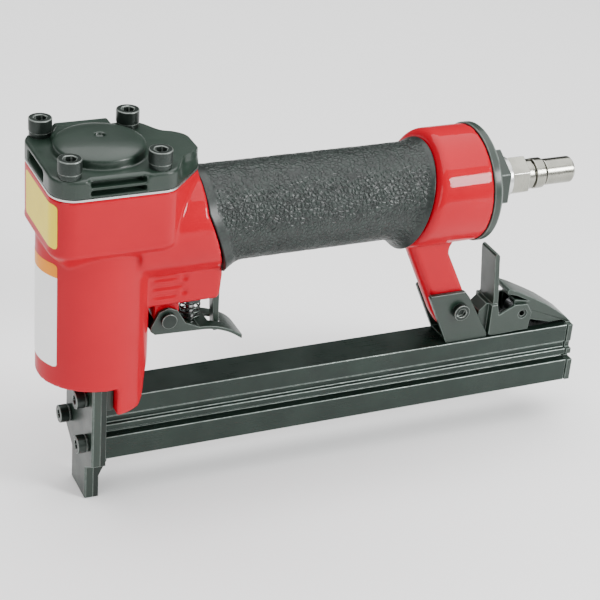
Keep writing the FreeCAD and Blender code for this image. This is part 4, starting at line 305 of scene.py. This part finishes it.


# In each look, the edge colour paints rubbed wear and a highlight along the narrow edge faces.
looks = {
    "redEnamel": (enamel, {
        "colour": (0.46, 0.0, 0.012, 1), "deep": (0.4, 0.0, 0.01, 1), "dust": (0.46, 0.006, 0.018, 1),
        "edge": (0.52, 0.006, 0.018, 1), "rough": (0.42, 0.55), "gloss": 0.05, "coat": 0.32,
        "coatRough": 0.05, "peel": 0.12, "wear": 0.35}),
    "blackEnamel": (enamel, {
        "colour": (0.009, 0.022, 0.014, 1), "deep": (0.005, 0.014, 0.009, 1),
        "dust": (0.024, 0.042, 0.03, 1), "edge": (0.16, 0.2, 0.18, 1), "rough": (0.34, 0.48),
        "gloss": 0.4, "coat": 0.2, "coatRough": 0.14, "peel": 0.35, "wear": 0.6}),
    "blackOxide": (metal, {
        "colour": (0.016, 0.024, 0.02, 1), "deep": (0.009, 0.014, 0.011, 1),
        "dust": (0.035, 0.045, 0.04, 1), "edge": (0.26, 0.29, 0.27, 1), "rough": (0.28, 0.4),
        "metallic": 0.5, "stretch": (300.0, 300.0, 300.0), "lines": 0.25, "wear": 0.8}),
    "blackRail": (metal, {
        "colour": (0.012, 0.024, 0.018, 1), "deep": (0.008, 0.016, 0.012, 1),
        "dust": (0.03, 0.042, 0.036, 1), "edge": (0.34, 0.4, 0.37, 1), "rough": (0.24, 0.34),
        "metallic": 0.45, "stretch": (30.0, 2200.0, 2200.0), "lines": 0.22, "wear": 0.7}),
    "brightSheet": (metal, {
        "colour": (0.62, 0.63, 0.62, 1), "deep": (0.5, 0.51, 0.5, 1), "dust": (0.36, 0.36, 0.36, 1),
        "edge": (0.8, 0.8, 0.8, 1), "rough": (0.22, 0.38), "metallic": 1.0,
        "stretch": (700.0, 700.0, 60.0), "lines": 0.2, "wear": 0.4}),
    "nickel": (metal, {
        "colour": (0.32, 0.32, 0.28, 1), "deep": (0.22, 0.22, 0.19, 1), "dust": (0.22, 0.22, 0.2, 1),
        "edge": (0.7, 0.7, 0.66, 1), "rough": (0.14, 0.26), "metallic": 1.0,
        "stretch": (2600.0, 60.0, 60.0), "lines": 0.18, "wear": 0.5}),
    "groundSteel": (metal, {
        "colour": (0.46, 0.47, 0.47, 1), "deep": (0.36, 0.37, 0.37, 1), "dust": (0.25, 0.25, 0.24, 1),
        "edge": (0.7, 0.7, 0.7, 1), "rough": (0.2, 0.34), "metallic": 1.0,
        "stretch": (1500.0, 1500.0, 60.0), "lines": 0.25, "wear": 0.5}),
    "springWire": (metal, {
        "colour": (0.42, 0.43, 0.44, 1), "deep": (0.3, 0.31, 0.32, 1), "dust": (0.2, 0.2, 0.2, 1),
        "edge": (0.6, 0.6, 0.6, 1), "rough": (0.18, 0.3), "metallic": 1.0,
        "stretch": (500.0, 500.0, 500.0), "lines": 0.2, "wear": 0.4}),
    "darkWire": (metal, {
        "colour": (0.1, 0.12, 0.11, 1), "deep": (0.05, 0.06, 0.055, 1), "dust": (0.08, 0.08, 0.08, 1),
        "edge": (0.4, 0.4, 0.4, 1), "rough": (0.22, 0.34), "metallic": 0.9,
        "stretch": (500.0, 500.0, 500.0), "lines": 0.2, "wear": 0.4}),
    "gripRubber": (rubber, {
        "colour": (0.012, 0.021, 0.017, 1), "deep": (0.003, 0.006, 0.005, 1),
        "dust": (0.022, 0.034, 0.028, 1), "rough": (0.36, 0.46), "sheen": 0.0, "gloss": 0.42,
        "size": 620.0, "grain": 0.6, "wear": 0.2}),
    "sealRubber": (rubber, {
        "colour": (0.02, 0.02, 0.02, 1), "deep": (0.012, 0.012, 0.012, 1),
        "dust": (0.06, 0.06, 0.06, 1), "rough": (0.35, 0.5), "sheen": 0.05, "gloss": 0.5,
        "size": 2400.0, "grain": 0.12, "wear": 0.2}),
    "amberPolyurethane": (rubber, {
        "colour": (0.62, 0.36, 0.07, 1), "deep": (0.48, 0.26, 0.05, 1), "dust": (0.6, 0.5, 0.3, 1),
        "rough": (0.3, 0.45), "sheen": 0.0, "gloss": 0.5, "size": 2400.0, "grain": 0.1, "wear": 0.2}),
    "blackPlastic": (rubber, {
        "colour": (0.022, 0.024, 0.024, 1), "deep": (0.014, 0.015, 0.015, 1),
        "dust": (0.08, 0.08, 0.08, 1), "rough": (0.3, 0.44), "sheen": 0.0, "gloss": 0.4, "size": 3200.0,
        "grain": 0.12, "wear": 0.3}),
}
materials = {name: kind(name, look) for name, (kind, look) in looks.items()}
print("materials made:", len(materials))


# Shaping helpers

def new_piece(name, mesh_data, finish, body, stands_for):
    piece = bpy.data.objects.new(name, mesh_data)
    bpy.context.scene.collection.objects.link(piece)
    mesh_data.materials.clear()
    mesh_data.materials.append(materials[finish])
    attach(piece, body)
    if stands_for:
        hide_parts(*stands_for)
    return piece


# The CAD node's mesh in one skin, with flat faces joined.
def copy_mesh(node):
    made = bmesh.new()
    made.from_mesh(nodes[node].data)
    bmesh.ops.remove_doubles(made, verts=made.verts, dist=0.002 * mm)
    bmesh.ops.dissolve_limit(made, angle_limit=math.radians(0.6), verts=made.verts, edges=made.edges)
    return made


# Rounds the sharp edges and marks the narrow faces that this makes.
def soften(made, width, turns, least_angle):
    layer = made.faces.layers.float.new("edge")
    limit = math.radians(least_angle)
    sharp = [edge for edge in made.edges if len(edge.link_faces) == 2 and edge.calc_face_angle() > limit]
    cut = bmesh.ops.bevel(made, geom=sharp, offset=width, offset_type="OFFSET", segments=turns, profile=0.5,
                          affect="EDGES", clamp_overlap=False, loop_slide=True, miter_outer="ARC")
    for face in cut["faces"]:
        face[layer] = 1.0
    return made


def finish_mesh(made, name):
    for face in made.faces:
        face.smooth = True
    data = bpy.data.meshes.new(name)
    made.to_mesh(data)
    made.free()
    return data


# Keeps flat faces flat up to their rounded edges.
def even_normals(piece):
    evening = piece.modifiers.new("evenNormals", "WEIGHTED_NORMAL")
    evening.mode = "FACE_AREA"
    evening.keep_sharp = True
    evening.weight = 60


# Rises smoothly from 0 at low to 1 at high.
def step(value, low, high):
    share = min(max((value - low) / (high - low), 0), 1)
    return share * share * (3 - 2 * share)


def cad_body(node):
    for body, members in frame["record"]["behaviour"]["bodies"].items():
        if node in members:
            return body
    raise KeyError(node)


# Metal pieces that keep the CAD outline and get rounded edges

edgeWork = {
    "cap_gasket": {"finish": "brightSheet", "width": 0.08, "turns": 1},
    "cap_screws": {"finish": "blackOxide", "width": 0.35, "turns": 2},
    "cap_spring_washers": {"finish": "blackOxide", "width": 0.15, "turns": 1},
    "nose_front_plate": {"finish": "blackEnamel", "width": 0.25, "turns": 2},
    "driver_guide_plate": {"finish": "blackOxide", "width": 0.12, "turns": 1},
    "nose_block": {"finish": "blackEnamel", "width": 0.25, "turns": 1},
    "nose_screws": {"finish": "blackOxide", "width": 0.3, "turns": 2},
    "nose_washers": {"finish": "blackOxide", "width": 0.12, "turns": 1},
    "fixed_magazine": {"finish": "blackRail", "width": 0.3, "turns": 2},
    "movable_rail": {"finish": "blackRail", "width": 0.18, "turns": 1},
    "staple_rail": {"finish": "groundSteel", "width": 0.15, "turns": 1},
    "pusher": {"finish": "groundSteel", "width": 0.12, "turns": 1},
    "pull_handle": {"finish": "blackEnamel", "width": 0.3, "turns": 2},
    "latch_lever": {"finish": "blackEnamel", "width": 0.3, "turns": 2},
    "latch_pin": {"finish": "blackOxide", "width": 0.2, "turns": 1},
    "rear_bracket": {"finish": "blackEnamel", "width": 0.25, "turns": 1},
    "bracket_screw": {"finish": "blackOxide", "width": 0.3, "turns": 2},
    "bracket_nut": {"finish": "blackOxide", "width": 0.2, "turns": 1},
    "end_cap": {"finish": "blackEnamel", "width": 0.4, "turns": 2},
    "plug_washer": {"finish": "brightSheet", "width": 0.2, "turns": 1},
    "air_plug": {"finish": "nickel", "width": 0.25, "turns": 2},
    "trigger_lever": {"finish": "blackEnamel", "width": 0.22, "turns": 2},
    "trigger_pin": {"finish": "blackOxide", "width": 0.25, "turns": 2},
    "trigger_stop_hook": {"finish": "blackEnamel", "width": 0.25, "turns": 1},
}
for node, work in edgeWork.items():
    shaped = soften(copy_mesh(node), work["width"] * mm, work["turns"], 24)
    mesh = finish_mesh(shaped, node + "Look")
    piece = new_piece(node + ".look", mesh, work["finish"], cad_body(node), [node])
    even_normals(piece)
print("edged pieces made:", len(edgeWork))


# CAD nodes that are shown as they are

carried = {
    "cylinder_sleeve": "groundSteel", "sleeve_o_rings": "sealRubber", "piston": "groundSteel",
    "piston_o_ring": "sealRubber", "driver_blade": "groundSteel", "driver_pin": "groundSteel",
    "bumper": "amberPolyurethane", "head_valve": "blackPlastic", "head_valve_spring": "springWire",
    "pusher_roll_spring": "springWire", "latch_spring": "springWire", "end_cap_o_ring": "sealRubber",
    "trigger_valve_body": "blackPlastic", "valve_stem": "groundSteel", "trigger_spring": "darkWire",
}
for node, finish in carried.items():
    for slot in nodes[node].material_slots:
        slot.material = materials[finish]
print("carried nodes painted:", len(carried))


# Housing: the casting, with every corner and root drawn together as in a mould. The dimples are two soft
# hollows in the near side of the trigger block, given by their places, and dimple is their radius and depth.

housing = {"finish": "redEnamel", "grid": 0.66, "melt": 9, "strength": 0.5, "shoulder": 114.0, "blend": 6.0,
           "middle": 1.0, "reach": 20.0, "swell": 1.5, "side": -8.5, "dimple": (1.9, 0.9),
           "dimples": ((31.8, 92.4), (31.7, 86.6))}


# One smooth skin over a CAD casting, and then its finer forms, from a function that moves each point.
def make_skin(node, part, shape):
    shaped = copy_mesh(node)
    bmesh.ops.triangulate(shaped, faces=shaped.faces)
    mesh = finish_mesh(shaped, node + "Look")
    piece = new_piece(node + ".look", mesh, part["finish"], cad_body(node), [node])
    skin = piece.modifiers.new("skin", "REMESH")
    skin.mode = "VOXEL"
    skin.voxel_size = part["grid"] * mm
    skin.use_smooth_shade = True
    melt = piece.modifiers.new("melt", "SMOOTH")
    melt.factor = part["strength"]
    melt.iterations = part["melt"]
    bpy.ops.object.select_all(action="DESELECT")
    bpy.context.view_layer.objects.active = piece
    piece.select_set(True)
    bpy.ops.object.modifier_apply(modifier="skin")
    bpy.ops.object.modifier_apply(modifier="melt")
    for corner in piece.data.vertices:
        corner.co = shape(part, corner.co / mm) * mm
    return piece


# Brings the barrel's front forward under the head, and presses two soft dimples in the trigger block.
def swell_barrel(part, spot):
    low = 1 - step(spot.z, part["shoulder"] - part["blend"], part["shoulder"])
    ahead = min(max((part["middle"] - spot.x) / part["reach"], 0), 1)
    spot.x -= part["swell"] * low * ahead * ahead
    for along, height in part["dimples"]:
        away = math.hypot(spot.x - along, spot.z - height) / part["dimple"][0]
        if away < 1 and spot.y < part["side"]:
            spot.y += part["dimple"][1] * (1 - away * away) ** 2
    return spot


casting = make_skin("housing", housing, swell_barrel)
print("housing made:", len(casting.data.polygons))


# Cylinder cap: the rear lobe turns round above the flange, and the far side rises behind the dome

cap = {"finish": "blackEnamel", "grid": 0.4, "melt": 4, "strength": 0.5, "top": 141.2, "floor": 137.0,
       "lobe": (26.8, 11.2), "lobeFrom": (23.5, 32.0), "lobeHeights": (135.6, 138.4),
       "bridge": {"rise": 2.3, "across": (6.0, 13.0), "left": (-9.8, -7.6), "right": (11.2, 13.4)},
       "inset": {"depth": 1.3, "side": (17.0, 21.0), "heights": (139.0, 141.0)}}


def shape_cap(part, spot):
    middle, radius = part["lobe"]
    away = math.hypot(spot.x - middle, spot.y)
    if spot.x > middle - 4 and away > radius:
        pull = step(spot.z, *part["lobeHeights"]) * step(spot.x, *part["lobeFrom"]) * (1 - radius / away)
        spot.x -= (spot.x - middle) * pull
        spot.y -= spot.y * pull
    bridge = part["bridge"]
    between = step(spot.x, *bridge["left"]) * (1 - step(spot.x, *bridge["right"]))
    rise = bridge["rise"] * step(spot.y, *bridge["across"]) * between
    height = spot.z - part["top"]
    if height > 0:
        spot.z = part["top"] + max(height, rise)
    else:
        spot.z += rise * min(max((spot.z - part["floor"]) / (part["top"] - part["floor"]), 0), 1)
    inset = part["inset"]
    spot.y += inset["depth"] * between * step(-spot.y, *inset["side"]) * step(spot.z, *inset["heights"])
    return spot


capPiece = make_skin("cylinder_cap", cap, shape_cap)
print("cap made:", len(capPiece.data.polygons))


# Grip: moulded rubber sleeve with a slanted front, flared ends and creases where a hand bends it

grip = {
    "finish": "gripRubber", "axis": 111.4,
    "front": (37.65, 119.5, 48.95, 86.0), "rear": (131.65, 120.45, 22.7),
    "radius": 18.45, "rows": 320, "columns": 220, "rim": 0.45, "bore": 15.55,
    "crease": 0.16, "sunk": 0.12, "fade": 2.5, "along": 0.11, "around": 2.6, "finer": 2.7,
    "frontFlare": {"top": 0.5, "under": 4.0, "reach": 9.0, "band": 3.2},
    "rearFlare": {"top": 1.3, "under": 4.9, "reach": 9.0, "band": 1.7},
}


# How far the sleeve swells near one of its ends, most on the underside.
def flare(shape, distance, turn):
    under = (1 - math.sin(turn)) / 2
    share = max(1 - distance / shape["reach"], 0)
    return (shape["top"] + (shape["under"] - shape["top"]) * under ** 2) * share ** 2.2


def grip_start(part, height):
    topX, topZ, lowX, lowZ = part["front"]
    return topX + (lowX - topX) * max(topZ - height, 0) / (topZ - lowZ)


def grip_end(part, height):
    topX, lowX, reach = part["rear"]
    return (topX + lowX + (topX - lowX) * (height - part["axis"]) / reach) / 2


# Depth of the long shallow folds in the sleeve, at a place along it and an angle round it.
def crease_depth(part, along, turn):
    around = part["around"]
    spot = Vector((along * part["along"], math.cos(turn) * around, math.sin(turn) * around))
    fold = 1 - abs(noise.noise(spot)) * 2.4
    fine = 1 - abs(noise.noise(spot * part["finer"] + Vector((7.1, 3.3, 5.9)))) * 2.2
    return part["crease"] * (max(fold, 0) ** 3 * 1.0 + max(fine, 0) ** 4 * 0.8)


def make_grip(part):
    made = bmesh.new()
    border = made.verts.layers.float.new("border")
    rows, columns = part["rows"], part["columns"]
    front, rear = part["frontFlare"], part["rearFlare"]
    skin = []
    for row in range(rows + 1):
        share = row / rows
        loop = []
        for column in range(columns):
            turn = 2 * math.pi * column / columns
            upper = part["axis"] + part["radius"] * math.sin(turn)
            start = grip_start(part, upper - front["under"] * (1 - math.sin(turn)) ** 2 / 4)
            end = grip_end(part, upper - rear["under"] * (1 - math.sin(turn)) ** 2 / 4)
            along = start + (end - start) * share
            ahead, behind = along - start, end - along
            radius = part["radius"] + flare(front, ahead, turn) + flare(rear, behind, turn)
            rim = min(ahead, behind)
            if rim < part["rim"]:
                radius -= part["rim"] - math.sqrt(max(part["rim"] ** 2 - (part["rim"] - rim) ** 2, 0))
            plain = min(ahead / front["band"], behind / rear["band"]) - 1
            grained = min(max(plain * part["fade"], 0), 1)
            radius -= (crease_depth(part, along, turn) + part["sunk"]) * grained
            spot = (along, radius * math.cos(turn), part["axis"] + radius * math.sin(turn))
            corner = made.verts.new(Vector(spot) * mm)
            corner[border] = 1 - grained
            loop.append(corner)
        skin.append(loop)
    for edge_place in (grip_start, grip_end):
        loop = []
        for column in range(columns):
            turn = 2 * math.pi * column / columns
            height = part["axis"] + part["bore"] * math.sin(turn)
            across = edge_place(part, height)
            spot = (across, part["bore"] * math.cos(turn), height)
            loop.append(made.verts.new(Vector(spot) * mm))
        if edge_place is grip_start:
            skin.insert(0, loop)
        else:
            skin.append(loop)
    for low, high in zip(skin, skin[1:]):
        for column in range(columns):
            after = (column + 1) % columns
            made.faces.new((low[column], high[column], high[after], low[after]))
    bmesh.ops.recalc_face_normals(made, faces=made.faces)
    mesh = finish_mesh(made, "gripLook")
    return new_piece("grip_sleeve.look", mesh, part["finish"], cad_body("grip_sleeve"), ["grip_sleeve"])


gripPiece = make_grip(grip)
print("grip made:", len(gripPiece.data.polygons))


# Blank label places: a yellow plate round the head's front corner and a white one on the barrel

# Printed film: soft gloss and faint fibres.
def paper(name, look):
    made, tree, shader = material(name, Coat_Weight=0.04, Coat_Roughness=0.2, Specular_IOR_Level=0.12)
    place = place_node(tree)
    cloud = remap(tree, noise_node(tree, place, 120.0, 4.0), 0.3, 0.75)
    fibre = remap(tree, noise_node(tree, place, 2400.0, 3.0), 0.3, 0.7)
    base = blend_colour(tree, cloud, look["colour"], look["deep"])
    base = blend_colour(tree, math_node(tree, "MULTIPLY", fibre, 0.25), base, look["deep"])
    wire(tree, base, shader.inputs["Base Color"])
    wire(tree, remap(tree, fibre, 0.0, 1.0, 0.32, 0.46), shader.inputs["Roughness"])
    bump = tree.nodes.new("ShaderNodeBump")
    bump.inputs["Strength"].default_value = 0.08
    bump.inputs["Distance"].default_value = 0.00004
    wire(tree, fibre, bump.inputs["Height"])
    wire(tree, bump.outputs["Normal"], shader.inputs["Normal"])
    return made


films = {
    "yellowFilm": {"colour": (0.84, 0.66, 0.035, 1), "deep": (0.78, 0.60, 0.03, 1)},
    "whiteFilm": {"colour": (0.93, 0.93, 0.92, 1), "deep": (0.88, 0.88, 0.87, 1)},
    "amberFilm": {"colour": (0.80, 0.28, 0.012, 1), "deep": (0.74, 0.25, 0.01, 1)},
}
materials.update({name: paper(name, look) for name, look in films.items()})
headPlan = {"front": 20.7, "side": 22.7, "corner": 9.0}
barrelPlan = {"middle": 1.0, "radius": 20.0}


# Point and outward way on the head's outline, along the front face and round the near corner.
def head_path(distance):
    front, corner = headPlan["front"], headPlan["corner"]
    straight = headPlan["side"] - corner
    if distance < straight:
        return Vector((-front, -distance, 0)), Vector((-1, 0, 0))
    turn = (distance - straight) / corner
    way = Vector((-math.cos(turn), -math.sin(turn), 0))
    return Vector((-front + corner, -straight, 0)) + way * corner, way


# The same on the barrel, whose front is drawn forward as in the housing.
def barrel_path(distance):
    turn = distance / barrelPlan["radius"]
    way = Vector((-math.cos(turn), -math.sin(turn), 0))
    ahead = Vector((housing["swell"] * math.cos(turn) ** 2, 0, 0))
    return Vector((barrelPlan["middle"], 0, 0)) + way * barrelPlan["radius"] - ahead, way


# Thin film laid on a curved face, with rounded corners and a turned-down border.
def make_label(name, part, path):
    made = bmesh.new()
    left, right, low, high = part["area"]
    columns, rows = part["cells"]
    radius = part["corner"]
    grid = []
    for row in range(rows + 1):
        loop = []
        height = low + (high - low) * row / rows
        inset = 0.0
        reach = min(height - low, high - height)
        if reach < radius:
            inset = radius - math.sqrt(radius ** 2 - (radius - reach) ** 2)
        for column in range(columns + 1):
            share = column / columns
            distance = left + inset + (right - left - 2 * inset) * share
            spot, way = path(distance)
            border = row in (0, rows) or column in (0, columns)
            lift = part["lift"] * (part["borderLift"] if border else 1.0)
            loop.append(made.verts.new((spot + way * lift + Vector((0, 0, height))) * mm))
        grid.append(loop)
    for lower, upper in zip(grid, grid[1:]):
        for column in range(columns):
            made.faces.new((lower[column], lower[column + 1], upper[column + 1], upper[column]))
    bmesh.ops.recalc_face_normals(made, faces=made.faces)
    piece = new_piece(name, finish_mesh(made, name), part["finish"], "stapler", [])
    if "band" in part:
        piece.data.materials.append(materials[part["band"][0]])
        for face in piece.data.polygons:
            if face.center.z > part["band"][1] * mm:
                face.material_index = 1


yellowLabel = {"finish": "yellowFilm", "area": (-13.0, 19.6, 114.4, 131.2), "cells": (90, 48), "corner": 1.6,
               "lift": 0.07, "borderLift": 0.2}
whiteLabel = {"finish": "whiteFilm", "area": (-12.2, 12.2, 62.3, 104.3), "cells": (60, 105), "corner": 1.6,
              "lift": 0.07, "borderLift": 0.2, "band": ("amberFilm", 99.1)}
make_label("yellowLabel", yellowLabel, head_path)
make_label("whiteLabel", whiteLabel, barrel_path)
print("labels made")


# Studio: pale floor, soft boxes and the camera of the photograph

def area_light(name, spot, target, width, height, power):
    lamp = bpy.data.lights.new(name, "AREA")
    lamp.shape = "RECTANGLE"
    lamp.size = width
    lamp.size_y = height
    lamp.energy = power
    holder = bpy.data.objects.new(name, lamp)
    bpy.context.scene.collection.objects.link(holder)
    holder.location = spot
    holder.rotation_euler = (Vector(target) - Vector(spot)).to_track_quat("-Z", "Y").to_euler()


studio = {"floorReach": 6.0, "floorGap": 0.0002, "sky": 0.12,
          "floorTone": ((0.93, 0.93, 0.93, 1), (0.91, 0.91, 0.91, 1))}
lamps = {
    "topBox": {"spot": (0.10, 0.15, 1.30), "target": (0.08, 0, 0.0), "width": 2.4, "height": 2.0,
               "power": 54.0},
    "nearBox": {"spot": (0.62, -0.66, 0.50), "target": (0.15, 0, 0.11), "width": 0.26, "height": 0.26,
                "power": 10.5},
    "frontBox": {"spot": (-0.95, -0.75, 0.42), "target": (0.0, 0, 0.09), "width": 0.7, "height": 0.7,
                 "power": 5.5},
}


def make_floor():
    made = bmesh.new()
    bmesh.ops.create_grid(made, x_segments=1, y_segments=1, size=studio["floorReach"])
    floor = bpy.data.objects.new("floor", finish_mesh(made, "floor"))
    bpy.context.scene.collection.objects.link(floor)
    floor.location = (0, 0, boxLow.z - studio["floorGap"])
    paint, tree, shader = material("floorPaint", Roughness=0.9)
    tone = remap(tree, noise_node(tree, place_node(tree), 3.0, 2.0), 0.3, 0.7, 0.0, 1.0)
    wire(tree, blend_colour(tree, tone, *studio["floorTone"]), shader.inputs["Base Color"])
    floor.data.materials.append(paint)


def make_world():
    world = bpy.data.worlds.new("studio")
    world.use_nodes = True
    back = world.node_tree.nodes["Background"]
    back.inputs["Color"].default_value = (1.0, 1.0, 1.0, 1)
    back.inputs["Strength"].default_value = studio["sky"]
    bpy.context.scene.world = world


cameraView = {"yaw": -0.4477047, "pitch": 0.5044462, "roll": 0.0829604, "focal": 1787.03, "pixels": 600,
              "sensor": 36.0, "near": 0.01, "place": (-0.1772, -0.5442, 0.4021)}


def make_camera(view):
    yaw, pitch, roll = view["yaw"], view["pitch"], view["roll"]
    forward = Vector((-math.sin(yaw) * math.cos(pitch), math.cos(yaw) * math.cos(pitch), -math.sin(pitch)))
    right = Vector((math.cos(yaw), math.sin(yaw), 0))
    up = right.cross(forward)
    across = right * math.cos(roll) + up * math.sin(roll)
    above = up * math.cos(roll) - right * math.sin(roll)
    turn = Matrix((across, above, -forward)).transposed().to_4x4()
    lens = bpy.data.cameras.new("photoCamera")
    lens.sensor_width = view["sensor"]
    lens.lens = view["focal"] * view["sensor"] / view["pixels"]
    lens.clip_start = view["near"]
    holder = bpy.data.objects.new("photoCamera", lens)
    bpy.context.scene.collection.objects.link(holder)
    holder.matrix_world = Matrix.Translation(Vector(view["place"])) @ turn
    bpy.context.scene.camera = holder


make_floor()
make_world()
make_camera(cameraView)
for name, lamp in lamps.items():
    area_light(name, **lamp)
print("studio made")
